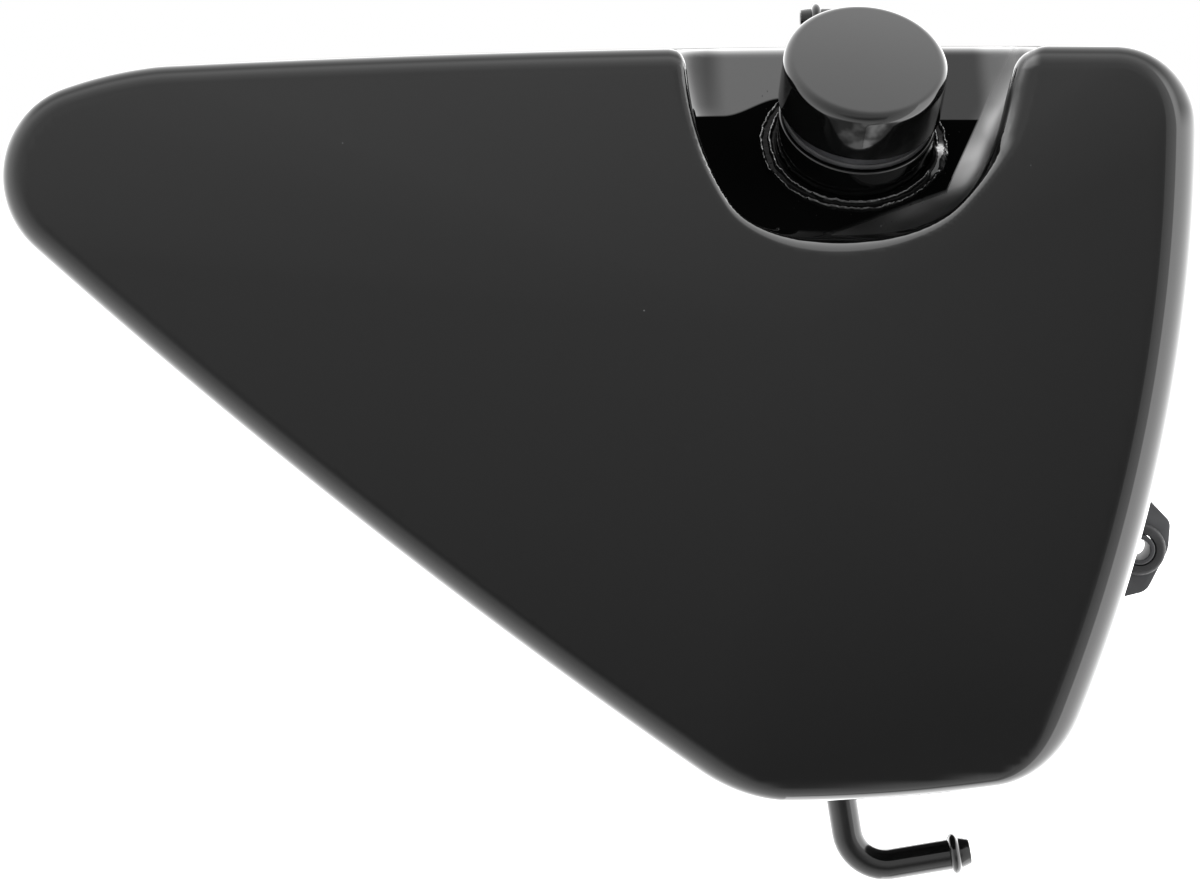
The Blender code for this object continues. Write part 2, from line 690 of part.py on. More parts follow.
def make_pipes(stations):
    make_pipe("outlet_pipe", (OUTLET_START, OUTLET_CORNER, OUTLET_END), OUTLET_BEND,
              OUTLET_RADIUS, OUTLET_BORE, OUTLET_TIP)
    make_pipe("vent_pipe", (VENT_START, VENT_CORNER, VENT_END), VENT_BEND,
              VENT_RADIUS, VENT_BORE, VENT_TIP)
    down = OUTLET_CORNER - OUTLET_START
    bottom, _ = height_range(stations, OUTLET_START.x)
    slope_room = 1.4 * MM
    drop = (OUTLET_START.z - bottom + slope_room) / -down.normalized().z
    make_collar("outlet_weld", OUTLET_START, down, drop, OUTLET_RADIUS, 2.0 * MM, 2.4 * MM)
    up = VENT_CORNER - VENT_START
    _, top = height_range(stations, VENT_START.x)
    rise = top - VENT_START.z + GAP + 0.3 * MM
    make_collar("vent_weld", VENT_START, up, rise, VENT_RADIUS, 1.6 * MM, 1.8 * MM)


def make_strainer():
    """A slotted screen that stands over the outlet inside the tank."""
    inner = STRAINER_RADIUS - STRAINER_WALL
    profile = [
        (0.0, STRAINER_HEIGHT), (STRAINER_RADIUS, STRAINER_HEIGHT), (STRAINER_RADIUS, 0.0),
        (inner, 0.0), (inner, STRAINER_HEIGHT - STRAINER_WALL), (0.0, STRAINER_HEIGHT - STRAINER_WALL),
    ]
    up = OUTLET_START - OUTLET_CORNER
    frame = (Matrix.Translation(OUTLET_START - up.normalized() * 8 * MM)
             @ up.to_track_quat("Z", "Y").to_matrix().to_4x4())
    strainer = new_object("outlet_strainer", turned("outlet_strainer", profile, 20), "bare_steel")
    strainer.matrix_world = frame
    low, high = 11 * MM, STRAINER_HEIGHT - 5 * MM
    for i in range(2):
        ring = []
        for z in (low, high):
            ring.append([Vector((x, y, z)) for x, y in (
                (-STRAINER_SLOT / 2, -9 * MM), (STRAINER_SLOT / 2, -9 * MM),
                (STRAINER_SLOT / 2, 9 * MM), (-STRAINER_SLOT / 2, 9 * MM))])
        slot = new_cutter("strainer_slot_%d" % (i + 1), skin("strainer_slot", ring))
        slot.matrix_world = frame @ Matrix.Rotation(math.pi / 2 * i, 4, "Z")
        boolean(strainer, slot)


# ---- Mounts ----

def facing_inboard(x, z):
    """A frame at X and Z whose own Z axis points along +Y."""
    return Matrix.Translation((x, 0, z)) @ Matrix.Rotation(-math.pi / 2, 4, "X")


def make_rear_mount():
    front = BACK_Y + GAP
    back = front + TAB_THICKNESS
    points = rounded_polygon([(x * MM, z * MM, r * MM) for x, z, r in TAB_OUTLINE])
    rings = [[Vector((p.x, y, p.y)) for p in points] for y in (front, back)]
    tab = new_object("rear_tab", skin("rear_tab", rings), "tab_steel")
    add_round_hole(tab, "tab_hole", Vector((0, front - 3 * MM, 0)), Vector((0, 1, 0)), TAB_HOLE, 9 * MM)

    axis = new_empty("rear_bolt_axis", facing_inboard(0, 0))
    inner = SLEEVE_RADIUS + GAP
    low, high = front - GAP, back + GAP
    profile = [
        (inner, low - GROMMET_LIP), (GROMMET_RADIUS - 1 * MM, low - GROMMET_LIP),
        (GROMMET_RADIUS, low - GROMMET_LIP / 2), (GROMMET_RADIUS, low), (GROMMET_GROOVE, low),
        (GROMMET_GROOVE, high), (GROMMET_RADIUS, high), (GROMMET_RADIUS, high + GROMMET_LIP / 2),
        (GROMMET_RADIUS - 1 * MM, high + GROMMET_LIP), (inner, high + GROMMET_LIP),
    ]
    new_object("rear_grommet", turned("rear_grommet", profile, 32), "black_rubber", axis)
    outer_end = low - GROMMET_LIP - 0.4 * MM
    profile = [(SLEEVE_BORE, outer_end), (SLEEVE_RADIUS, outer_end), (SLEEVE_RADIUS, 0.0),
               (SLEEVE_BORE, 0.0)]
    new_object("rear_sleeve", turned("rear_sleeve", profile, 32), "tab_steel", axis)


def make_stud_mount(name, x, z):
    """A bung in the back shell, a rubber bobbin on it and the bobbin's plate and stud."""
    axis = new_empty(name + "_stud_axis", facing_inboard(x * MM, z * MM))
    flange = BACK_Y + GAP
    flange_top = flange + BUNG_FLANGE
    profile = [
        (0.0, BACK_Y - BUNG_DEPTH), (BUNG_SHANK, BACK_Y - BUNG_DEPTH), (BUNG_SHANK, flange),
        (BUNG_RADIUS, flange), (BUNG_RADIUS, flange_top), (0.0, flange_top),
    ]
    new_object(name + "_bung", turned(name + "_bung", profile, 24), "tab_steel", axis)
    low, high = flange_top + GAP, -STUD_PLATE - GAP
    middle = (low + high) / 2
    profile = [
        (0.0, low), (BOBBIN_RADIUS, low), (BOBBIN_RADIUS, low + 1 * MM), (BOBBIN_WAIST, middle),
        (BOBBIN_RADIUS, high - 1 * MM), (BOBBIN_RADIUS, high), (0.0, high),
    ]
    new_object(name + "_bobbin", turned(name + "_bobbin", profile, 24), "black_rubber", axis)
    chamfer = 0.6 * MM
    profile = [
        (0.0, -STUD_PLATE), (BOBBIN_RADIUS, -STUD_PLATE), (BOBBIN_RADIUS, 0.0), (STUD_RADIUS, 0.0),
        (STUD_RADIUS, STUD_LENGTH - chamfer), (STUD_RADIUS - chamfer, STUD_LENGTH),
        (0.0, STUD_LENGTH),
    ]
    new_object(name + "_stud", turned(name + "_stud", profile, 24), "zinc_steel", axis)


def neck_frame(centre, lean):
    """A frame at a centre whose Z axis is tilted outboard and leans to the rear."""
    tilt = Matrix.Rotation(NECK_TILT, 4, "X")
    return Matrix.Translation(centre) @ tilt @ Matrix.Rotation(lean, 4, "Y")


def main():
    clear_scene()
    stations = outline_stations()
    recess_axis = new_empty("recess_axis", neck_frame(RECESS_CENTRE, 0.0))
    neck_axis = new_empty("neck_axis", neck_frame(NECK_CENTRE, NECK_LEAN))
    make_outer_shell(stations, recess_axis, neck_axis)
    make_back_shell(stations)
    make_seam_weld(stations)
    make_baffle(stations)
    make_filler_neck(neck_axis)
    make_neck_weld(recess_axis)
    make_cap(neck_axis)
    make_pipes(stations)
    make_strainer()
    make_rear_mount()
    for name, (x, z) in STUD_PLACES.items():
        make_stud_mount(name, x, z)


main()
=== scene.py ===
"""Looks of the fuel tank: fine meshes, enamel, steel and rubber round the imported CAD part."""
import math
from itertools import product

import bpy
import bmesh
import numpy as np
from mathutils import Matrix, Vector, noise


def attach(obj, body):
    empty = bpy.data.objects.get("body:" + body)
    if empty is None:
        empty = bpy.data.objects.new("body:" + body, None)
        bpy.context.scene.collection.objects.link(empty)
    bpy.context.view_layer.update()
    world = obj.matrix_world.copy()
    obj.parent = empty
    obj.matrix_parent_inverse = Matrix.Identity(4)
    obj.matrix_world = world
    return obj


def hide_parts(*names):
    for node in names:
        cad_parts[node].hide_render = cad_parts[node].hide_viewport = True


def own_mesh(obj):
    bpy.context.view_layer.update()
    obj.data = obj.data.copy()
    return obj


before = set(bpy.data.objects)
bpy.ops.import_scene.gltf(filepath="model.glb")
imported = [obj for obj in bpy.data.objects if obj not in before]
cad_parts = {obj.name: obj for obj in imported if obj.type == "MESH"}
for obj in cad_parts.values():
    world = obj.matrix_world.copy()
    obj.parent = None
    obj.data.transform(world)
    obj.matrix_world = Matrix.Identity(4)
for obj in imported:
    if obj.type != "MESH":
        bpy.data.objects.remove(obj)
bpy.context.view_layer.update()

MM = 0.001
TAU = 2 * math.pi
SHARP, WELDED, SOFT = (math.radians(a) for a in (38, 60, 70))  # edges flatter than this are smoothed

# ---- Dimensions, in millimetres, in the row frame ----
# Side view: each side is an arc through two (x, z) points with a bulge, the width of the rounded
# front edge along it and the radius of the corner after it, clockwise from the top.
SIDES = (
    ((-280.4, 152.9), (-60.4, 158.0), 1.26, 6.5, 25.3),
    ((3.9, 122.2), (-26.5, -35.8), 6.87, 12.5, 32.2),
    ((-60.4, -60.4), (-110.4, -63.9), 0.66, 5.5, 47.2),
    ((-140.4, -56.0), (-330.4, 94.5), 3.65, 8.5, 27.7),
    ((-327.9, 145.0), (-302.4, 151.5), 0.7, 6.5, 60.0),
)
FACE_CENTRE = np.array((-115.0, 75.0))
FACE_Y = -106.0
FACE_CROWN = 3.0
SEAM_Y = -28.0
BACK_Y = -12.0
BACK_EDGE = 12.0
LAP = 5.0
SHEET = 1.5
GAP = 0.3

RECESS_CENTRE = np.array((-95.8, -75.6, 129.0))
NECK_CENTRE = np.array((-95.3, -75.6, 129.0))
NECK_TILT = math.radians(44.2)
NECK_LEAN = math.radians(3.6)
RECESS_RADIUS = 48.0
RECESS_DRAFT = math.tan(math.radians(2.5))

# Recess: distances run across it, or up or down its floor, from its centre
FLOOR_ROUND = 14.0
LOW_ROUND = 9.0  # floor rounding at the lower end
LIP_HEIGHT, LIP_SPAN = 2.4, (28.0, 42.0)
REAR_SPAN = (-20.0, 25.0)  # across it, where the front's shape gives way to the rear's
LOW_SPAN = (20.0, 38.0)  # down it, where the lower end's shape takes over
HIGH_SPAN = (2.0, 26.0)  # up it, where the bevel runs out
WALL_SHIFT = 2.0  # of the walls, towards the front of the machine
REAR_SHIFT = 2.8  # how far the rear wall stands in from the circle
FRONT_OPENING, REAR_OPENING = 4.0, 13.0  # how far the walls spread towards the top
OPENING_SPAN = (-10.0, 30.0)
BEVEL_SHIFT = 0.6  # how far the wall gives way for the bevel
BEVEL_CUT, BEVEL_CUT_REAR = 1.4, 3.0  # how deep the bevel cuts the recess's edge
BEVEL_LEAN, BEVEL_LEAN_LOW = 0.65, 1.48  # share of the wall in the bevel's direction
LOW_MEET = 1.39  # twice the cosine between the face and the lower floor
BEVEL_CREASE = 1.3
BEVEL_INNER, BEVEL_INNER_LOSS = 2.4, 0.4
TOP_CREASE = 1.0
FLARE_FRONT, FLARE_REAR = 8.0, 13.0  # rounding where the walls run out into the top
FLARE_SPAN, FLARE_DEPTH = (26.0, 42.0), (50.0, 100.0)

NECK_RADIUS = 23.2
NECK_BORE = 21.6
NECK_FOOT = -4.0
NECK_TOP = 11.3
PITCH, THREAD_TURNS, THREAD_WIDTH = 4.0, 1.5, 0.9

COVER_RADIUS = 24.05
COVER_BOTTOM, COVER_TOP = 17.4, 34.9
COVER_EDGE = 3.0
COVER_WALL = 1.2
COVER_DOME = 0.6
BAND_RADIUS = 22.3
BAND_BOTTOM = 13.9
HEAD_TOP = 25.0
PLUG_RADIUS = 19.6
PLUG_BOTTOM = 1.0

OUTLET = ((-100.8, -64.0, -46.0), (-93.2, -64.0, -92.4), (-57.6, -64.0, -86.4))
VENT = ((-92.9, -38.5, 150.0), (-92.9, -38.5, 166.4), (-109.3, -38.5, 166.4))
OUTLET_SIZES = (12.0, 4.76, 3.1, 3.95)  # bend, and radii of the pipe, its bore and its tip
VENT_SIZES = (6.5, 3.2, 1.9, 2.75)
BEAD_WIDTH, BEAD_HEIGHT, TIP_LENGTH = 3.2, 1.5, 3.2
STUDS = {"front": (-286.0, 118.0), "lower": (-96.0, -30.0)}
STUD_RADIUS = 3.0
TAB_OUTLINE = (
    (-48.0, 24.0, 6.0), (2.6, 16.2, 4.0), (9.9, 8.6, 4.0),
    (9.3, -0.2, 9.0), (2.6, -13.6, 5.0), (-48.0, -26.0, 6.0),
)
TAB_FRONT, TAB_BACK = -11.7, -8.7
TAB_HOLE = 6.6

# Spacing of the outer shell's mesh: fine between the middle two places of each axis, coarse outside
NET_FINE, NET_COARSE = 1.15, 2.5
NET_X = (-352.0, -158.0, -32.0, 16.0)
NET_Y = (-112.0, -112.0, -94.0, SEAM_Y)
NET_Z = (-70.0, 84.0, 164.0, 166.0)


def unit(v):
    v = np.asarray(v, float)
    return v / np.linalg.norm(v)


def smooth_step(x, low, high):
    t = np.clip((x - low) / (high - low), 0, 1)
    return t * t * (3 - 2 * t)


def tilted_frame(centre, lean):
    tilt = Matrix.Rotation(NECK_TILT, 4, "X")
    return Matrix.Translation(Vector(centre)) @ tilt @ Matrix.Rotation(lean, 4, "Y")


RECESS_FRAME = tilted_frame(RECESS_CENTRE, 0.0)
NECK_FRAME = tilted_frame(NECK_CENTRE, NECK_LEAN)
RECESS_AXES = np.array(RECESS_FRAME.to_3x3()).T  # rows: across, up the floor, along the axis
NECK_AXES = np.array(NECK_FRAME.to_3x3()).T


# ---- Materials ----

def add_node(tree, kind, inputs, **settings):
    """A new node; each input is given a value, or a link where the value is a socket."""
    node = tree.nodes.new("ShaderNode" + kind)
    for name, setting in settings.items():
        setattr(node, name, setting)
    for key, value in inputs.items():
        if isinstance(value, bpy.types.NodeSocket):
            tree.links.new(value, node.inputs[key])
        else:
            node.inputs[key].default_value = value
    return node


def math_node(tree, kind, *values):
    return add_node(tree, "Math", dict(enumerate(values)), operation=kind).outputs[0]


def times(tree, first, *others):
    """The product of several values."""
    for other in others:
        first = math_node(tree, "MULTIPLY", first, other)
    return first


def separate(tree, vector):
    return add_node(tree, "SeparateXYZ", {0: vector}).outputs


def facing(tree):
    """The X, Y and Z of the surface's direction."""
    return separate(tree, tree.nodes.new("ShaderNodeNewGeometry").outputs["Normal"])


def own_place(tree):
    """The place in the piece's own space."""
    return tree.nodes.new("ShaderNodeTexCoord").outputs["Object"]


def remap(tree, value, low, high, out_low=0.0, out_high=1.0, smooth=True):
    inputs = {"Value": value, "From Min": low, "From Max": high, "To Min": out_low, "To Max": out_high}
    kind = "SMOOTHSTEP" if smooth else "LINEAR"
    return add_node(tree, "MapRange", inputs, interpolation_type=kind).outputs["Result"]


def blend_values(tree, share, first, second):
    return add_node(tree, "Mix", {0: share, 2: first, 3: second}).outputs[0]


def texture(tree, kind, inputs, stretch=None):
    """A texture in the piece's own space, in repeats to the metre."""
    place = own_place(tree)
    if stretch:
        place = add_node(tree, "Mapping", {"Vector": place, "Scale": stretch}).outputs["Vector"]
    return add_node(tree, kind, {"Vector": place, **inputs}).outputs


def mottle(tree, scale, detail, stretch=None):
    """Soft noise from 0 to 1."""
    return texture(tree, "TexNoise", {"Scale": scale, "Detail": detail}, stretch)["Fac"]


def colour_between(tree, share, low, high):
    inputs = {0: share, 6: (*low, 1), 7: (*high, 1)}
    return add_node(tree, "Mix", inputs, data_type="RGBA").outputs[2]


def bump(tree, height, strength, depth, **after):
    inputs = {"Height": height, "Strength": strength, "Distance": depth, **after}
    return add_node(tree, "Bump", inputs).outputs["Normal"]


def new_material(name, metallic=0.0):
    mat = bpy.data.materials.new(name)
    mat.use_nodes = True
    tree = mat.node_tree
    tree.nodes["Principled BSDF"].inputs["Metallic"].default_value = metallic
    return mat, tree


def connect(tree, values, names=("Base Color", "Roughness", "Normal")):
    """Links values to the shader's sockets of those names."""
    for name, value in zip(names, values):
        tree.links.new(value, tree.nodes["Principled BSDF"].inputs[name])


GLOSS_SOCKETS = ("Specular IOR Level", "IOR", "Roughness")
GLOSS = 0.5  # specular level of plain enamel
SHADED_SIDE_GLOSS = 0.3  # share of it kept on faces that don't face outboard; the rest taken away is painted shade that darkens their reflections
PAINTED_HIGHLIGHT_INDEX, PLAIN_INDEX = 2.0, 1.5  # index of refraction along the recess's bevel, raised there for a painted highlight, and elsewhere
RIM_BLUR = 0.30  # roughness added along the recess's rim
REAR_PAINTED_SHADE, CORNER_PAINTED_SHADE = 0.62, 0.6  # share of the specular level taken away on the recess floor's rear and upper corners, as painted shade
SHORE_FRONT, SHORE_NECK, SHORE_REAR = 8.2, 13.4, 7.2  # height of the upper limit of the floor's painted shade
BRINKS = ((0.337, -22.8), (1.82, -62.8))  # its lower limit: slope and height of each line
BRINK_LOW = -27.0


def painted_side_shade(tree):
    """Full specular level on what faces outboard, and less on the sides, the top and the back: painted
    shade that darkens their reflections.
    """
    return remap(tree, facing(tree)[1], -0.25, 0.0, 1.0, SHADED_SIDE_GLOSS)


def gloss_with_painted_shade(tree, loss):
    """Specular level with a share taken away: painted shade."""
    return times(tree, math_node(tree, "MULTIPLY_ADD", loss, -GLOSS, GLOSS), painted_side_shade(tree))


def recess_painted_shade_and_highlight(tree):
    """Specular level, index and roughness of the outer shell: painted shade deep in the recess, a painted
    highlight along its bevel, and more roughness along its rim.

    Places are in millimetres from the recess's centre, except depth, which is the row's own Y."""
    inputs = {0: own_place(tree), 1: (1 / MM,) * 3, 2: (-RECESS_CENTRE[0], 0, -RECESS_CENTRE[2])}
    spot = add_node(tree, "VectorMath", inputs, operation="MULTIPLY_ADD")
    across, depth, up = separate(tree, spot.outputs[0])
    aside = math_node(tree, "ABSOLUTE", across)
    within = times(tree, remap(tree, aside, 53, 50), remap(tree, up, -36, -33))

    brink = BRINK_LOW
    for slope, height in BRINKS:
        brink = math_node(tree, "MAXIMUM", math_node(tree, "MULTIPLY_ADD", across, slope, height), brink)
    above = remap(tree, math_node(tree, "SUBTRACT", up, brink), -0.8, 0.8)
    deep = times(tree, within, remap(tree, depth, -104.6, -103.0), above)

    # Painted shade: the specular level is taken away on the recess floor between its limits, more towards
    # its rear and at its upper corners.
    shore = remap(tree, across, -38, -20, SHORE_FRONT, SHORE_NECK)
    shore = blend_values(tree, remap(tree, across, 0, 25), shore, SHORE_REAR)
    floor = times(tree, deep, remap(tree, math_node(tree, "SUBTRACT", up, shore), 0.35, -0.35))
    rear = times(tree, deep, remap(tree, across, 5, 30), REAR_PAINTED_SHADE)
    corner = times(tree, remap(tree, aside, 36, 43), remap(tree, up, 4, 12),
                   remap(tree, depth, -105.2, -104.2), CORNER_PAINTED_SHADE)
    shade_share = math_node(tree, "MAXIMUM", math_node(tree, "MAXIMUM", floor, rear), corner)

    # Painted highlight: a raised index of refraction along the recess's bevel.
    place = math_node(tree, "MAXIMUM", remap(tree, up, 4, -6), remap(tree, across, 38, 44))
    bevel = times(tree, remap(tree, facing(tree)[2], 0.12, 0.26), within, place)
    highlight_index = math_node(tree, "MULTIPLY_ADD", bevel, PAINTED_HIGHLIGHT_INDEX - PLAIN_INDEX, PLAIN_INDEX)
    rim = times(tree, within, math_node(tree, "SUBTRACT", 1.0, above), remap(tree, depth, -105.6, -104.6))
    polish = tree.nodes["Principled BSDF"].inputs["Roughness"].links[0].from_socket
    return gloss_with_painted_shade(tree, shade_share), highlight_index, math_node(tree, "MULTIPLY_ADD", rim, RIM_BLUR, polish)


def cap_painted_shade(tree):
    """Specular level of the cap: its underside, which looks down into the recess, gets patches of painted
    shade that darken its reflections.
    """
    under = remap(tree, facing(tree)[2], -0.45, -0.62)
    patches = remap(tree, mottle(tree, 150.0, 2.0), 0.35, 0.6, 0.45, 0.9)
    return [gloss_with_painted_shade(tree, times(tree, under, patches))]


def bead_painted_highlights(tree):
    """Specular level of the neck's weld bead: painted highlights on its crests and painted shade in its
    grooves.
    """
    inputs = {0: own_place(tree), 1: RECESS_AXES[2] / MM}
    along = add_node(tree, "VectorMath", inputs, operation="DOT_PRODUCT")
    height = math_node(tree, "SUBTRACT", along.outputs["Value"], float(RECESS_AXES[2] @ RECESS_CENTRE))
    return [remap(tree, height, 0.75, 1.25, 0.05, 0.8)]


def enamel(name, black, rough, peel, dust=0.0, tint=(1.0, 1.03, 1.02)):
    """Black enamel: faint orange peel, softer patches where it was wiped, and a few dust specks."""
    mat, tree = new_material(name)
    base = tuple(black * t for t in tint)
    wiped = remap(tree, mottle(tree, 38.0, 4.0), 0.35, 0.7, rough * 0.8, rough * 1.35)
    normal = bump(tree, mottle(tree, 520.0, 1.5), peel, 0.00006)
    if dust:
        cells = texture(tree, "TexVoronoi", {"Scale": 70.0})
        spot = remap(tree, cells["Distance"], 0.008, 0.018, 1.0, 0.0)
        bright = add_node(tree, "SeparateColor", {"Color": cells["Color"]})
        speck = times(tree, spot, remap(tree, bright.outputs["Red"], 0.70, 0.9), dust)
        colour = colour_between(tree, speck, base, (0.16, 0.17, 0.17))
        normal = bump(tree, speck, 0.5, 0.0002, Normal=normal)
    else:
        tone = remap(tree, mottle(tree, 60.0, 3.0), 0.3, 0.7)
        colour = colour_between(tree, tone, base, tuple(1.6 * b for b in base))
    connect(tree, (colour, wiped, normal))
    # Less specular level away from outboard faces: painted shade on the sides, the top and the back.
    connect(tree, [times(tree, painted_side_shade(tree), GLOSS)], GLOSS_SOCKETS)
    return mat


def steel(name, colour, rough, grain, stretch):
    """Metal with fine directional grain and cloudy tone."""
    mat, tree = new_material(name, metallic=1.0)
    lines = mottle(tree, grain, 5.0, stretch)
    tone = remap(tree, times(tree, mottle(tree, 90.0, 3.0), lines), 0.12, 0.4)
    colour = colour_between(tree, tone, tuple(0.68 * c for c in colour), colour)
    polish = remap(tree, lines, 0.3, 0.7, rough * 0.75, rough * 1.3)
    connect(tree, (colour, polish, bump(tree, lines, 0.15, 0.00008)))
    return mat


def soft_black(name, colour, rough, scale, depth):
    """Rubber or moulded plastic: fine skin texture and a slight bloom."""
    mat, tree = new_material(name)
    skin = mottle(tree, scale, 6.0)
    bloom = remap(tree, mottle(tree, 120.0, 3.0), 0.4, 0.75)
    colour = colour_between(tree, bloom, colour, tuple(2.1 * c + 0.004 for c in colour))
    polish = remap(tree, skin, 0.3, 0.7, rough * 0.88, rough * 1.1)
    connect(tree, (colour, polish, bump(tree, skin, 0.35, depth)))
    return mat


MATERIALS = {
    "gloss_enamel": enamel("gloss_enamel", 0.0011, 0.028, 0.05, dust=0.6),
    "shell_enamel": enamel("shell_enamel", 0.0011, 0.028, 0.05, dust=0.6),
    "cap_enamel": enamel("cap_enamel", 0.0014, 0.05, 0.06, dust=0.4),
    "weld_enamel": enamel("weld_enamel", 0.0016, 0.06, 0.3),
    "bead_enamel": enamel("bead_enamel", 0.0016, 0.09, 0.2),
    "pipe_enamel": enamel("pipe_enamel", 0.0022, 0.10, 0.12),
    "satin_enamel": enamel("satin_enamel", 0.018, 0.42, 0.5, tint=(0.98, 1.0, 1.1)),
    "bare_steel": steel("bare_steel", (0.42, 0.42, 0.43), 0.34, 900.0, (1.0, 1.0, 0.06)),
    "zinc_plate": steel("zinc_plate", (0.20, 0.205, 0.21), 0.40, 700.0, (1.0, 0.1, 1.0)),
    "rubber": soft_black("rubber", (0.010, 0.010, 0.011), 0.62, 1400.0, 0.00008),
    "moulding": soft_black("moulding", (0.012, 0.012, 0.013), 0.36, 1000.0, 0.00005),
}


# The shell, the cap and the weld bead take painted shade and painted highlights in their specular level.
for key, gloss in (("shell_enamel", recess_painted_shade_and_highlight), ("cap_enamel", cap_painted_shade), ("bead_enamel", bead_painted_highlights)):
    connect(MATERIALS[key].node_tree, gloss(MATERIALS[key].node_tree), GLOSS_SOCKETS)


# ---- Mesh helpers ----

def add_object(name, data):
    obj = bpy.data.objects.new(name, data)
    bpy.context.scene.collection.objects.link(obj)
    return obj


def new_piece(node, mesh, slot, smooth=SHARP, body="tank", look=None):
    """A visible piece that stands for a CAD node."""
    obj = add_object(node + "_fine", mesh)
    mesh.name = obj.name
    mesh.materials.clear()
    mesh.materials.append(MATERIALS[look or slot])
    if smooth:
        mesh.shade_smooth()
        mesh.set_sharp_from_angle(angle=smooth)
    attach(obj, body)
    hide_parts(node)
    return obj


def mesh_from(points, faces):
    mesh = bpy.data.meshes.new("piece")
    mesh.from_pydata([tuple(p) for p in np.asarray(points, float) * MM], [], faces)
    mesh.update()
    return mesh


def outward(mesh):
    """Turns a closed mesh's faces to look out."""
    work = bmesh.new()
    work.from_mesh(mesh)
    bmesh.ops.recalc_face_normals(work, faces=work.faces[:])
    if work.calc_volume(signed=True) < 0:
        bmesh.ops.reverse_faces(work, faces=work.faces[:])
    work.to_mesh(mesh)
    work.free()
    return mesh


def skin_rings(rings, poles=(None, None), wrap=False):
    """A closed mesh over rings of equally many points, capped by fans or poles, or wrapped round."""
    rings = np.asarray(rings, float)
    count, size = rings.shape[:2]
    points = rings.reshape(-1, 3)
    faces = []
    around = [(k, (k + 1) % size) for k in range(size)]
    for i in range(count if wrap else count - 1):
        a, b = i * size, (i + 1) % count * size
        faces += [(a + k, a + n, b + n, b + k) for k, n in around]
    if not wrap:
        extra = []
        for end, pole in ((0, poles[0]), (count - 1, poles[1])):
            start = end * size
            if pole is None:
                faces.append(tuple(range(start, start + size)))
                continue
            tip = len(points) + len(extra)
            extra.append(pole)
            faces += [(start + k, start + n, tip) for k, n in around]
        if extra:
            points = np.vstack([points, extra])
    return outward(mesh_from(points, faces))


def move_to(mesh, place):
    """Moves a mesh to a place whose position is in millimetres."""
    place = place.copy()
    place.translation *= MM
    mesh.transform(place)
    return mesh


def arc(centre, radius, start, end, steps):
    angles = np.radians(np.linspace(start, end, steps + 1))
    return [(centre[0] + radius * math.cos(a), centre[1] + radius * math.sin(a)) for a in angles]


def angle_of(v):
    return np.arctan2(v[1], v[0])


def rounded(corners, steps=4):
    """A closed 2-D outline of (x, y, radius) corners, each rounded."""
    out = []
    count = len(corners)
    for i, (x, y, radius) in enumerate(corners):
        here = np.array((x, y))
        if radius <= 0:
            out.append((x, y))
            continue
        before = unit(np.array(corners[i - 1][:2]) - here)
        after = unit(np.array(corners[(i + 1) % count][:2]) - here)
        half = math.acos(max(-1.0, min(1.0, float(before @ after)))) / 2
        cut = radius / math.tan(half)
        middle = here + unit(before + after) * radius / math.sin(half)
        first, last = here + before * cut - middle, here + after * cut - middle
        start = angle_of(first)
        turn = (angle_of(last) - start + math.pi) % TAU - math.pi
        out += arc(middle, radius, math.degrees(start), math.degrees(start + turn), steps)
    return out


def lathe(profile, place, segments, warp=None):
    """A closed (radius, height) outline turned about the place's Z axis."""
    angles = np.linspace(0, TAU, segments, endpoint=False)
    keep = [p for i, p in enumerate(profile) if math.dist(p, profile[i - 1]) > 1e-4]
    work = bmesh.new()
    columns = []
    for radius, height in keep:
        if radius < 1e-6:
            columns.append([work.verts.new((0, 0, height * MM))] * segments)
            continue
        column = []
        for a in angles:
            r, h = warp(radius, height, a) if warp else (radius, height)
            column.append(work.verts.new((r * MM * math.cos(a), r * MM * math.sin(a), h * MM)))
        columns.append(column)
    for low, high in zip(columns, columns[1:] + columns[:1]):
        for k in range(segments):
            n = (k + 1) % segments
            corners = list(dict.fromkeys((low[k], low[n], high[n], high[k])))
            if len(corners) > 2:
                work.faces.new(corners)
    mesh = bpy.data.meshes.new("piece")
    work.to_mesh(mesh)
    work.free()
    return move_to(outward(mesh), place)


def facing_along(start, direction):
    """A place at a start with its Z axis along a direction."""
    return Matrix.Translation(start) @ direction.to_track_quat("Z", "Y").to_matrix().to_4x4()


def cut_holes(mesh, holes):
    """The mesh with round holes (start, direction, radius, length) taken out."""
    obj = add_object("cutting", mesh)
    tools = []
    for start, direction, radius, length in holes:
        place = facing_along(Vector(start), Vector(direction))
        tool = add_object("hole", lathe([(0, 0), (radius, 0), (radius, length), (0, length)], place, 64))
        modifier = obj.modifiers.new("hole", "BOOLEAN")
        modifier.object = tool
        modifier.solver = "EXACT"
        tools.append(tool)
    bpy.context.view_layer.update()
    graph = bpy.context.evaluated_depsgraph_get()
    result = bpy.data.meshes.new_from_object(obj.evaluated_get(graph))
    for tool in tools + [obj]:
        bpy.data.objects.remove(tool)
    return result


# ---- The tank's outline ----

def side_circle(start, end, bulge):
    start, end = np.array(start), np.array(end)
    chord = np.linalg.norm(end - start)
    radius = (chord * chord / 4 + bulge * bulge) / (2 * bulge)
    along = (end - start) / chord
    inward = np.array((along[1], -along[0]))
    return (start + end) / 2 + inward * (radius - bulge), radius


def corner_centre(first, second, radius, near):
    (c1, r1), (c2, r2) = (first[0], first[1] - radius), (second[0], second[1] - radius)
    between = c2 - c1
    gap = np.linalg.norm(between)
    along = (r1 * r1 - r2 * r2 + gap * gap) / (2 * gap)
    off = math.sqrt(max(0.0, r1 * r1 - along * along))
    base = c1 + between * along / gap
    side = np.array((-between[1], between[0])) / gap * off
    return min((base + side, base - side), key=lambda p: np.linalg.norm(p - near))


def clockwise(first, last):
    """The turn from one angle to another; a shade under a whole turn is no turn."""
    turn = (first - last) % TAU
    return 0.0 if turn > TAU - 0.05 else turn


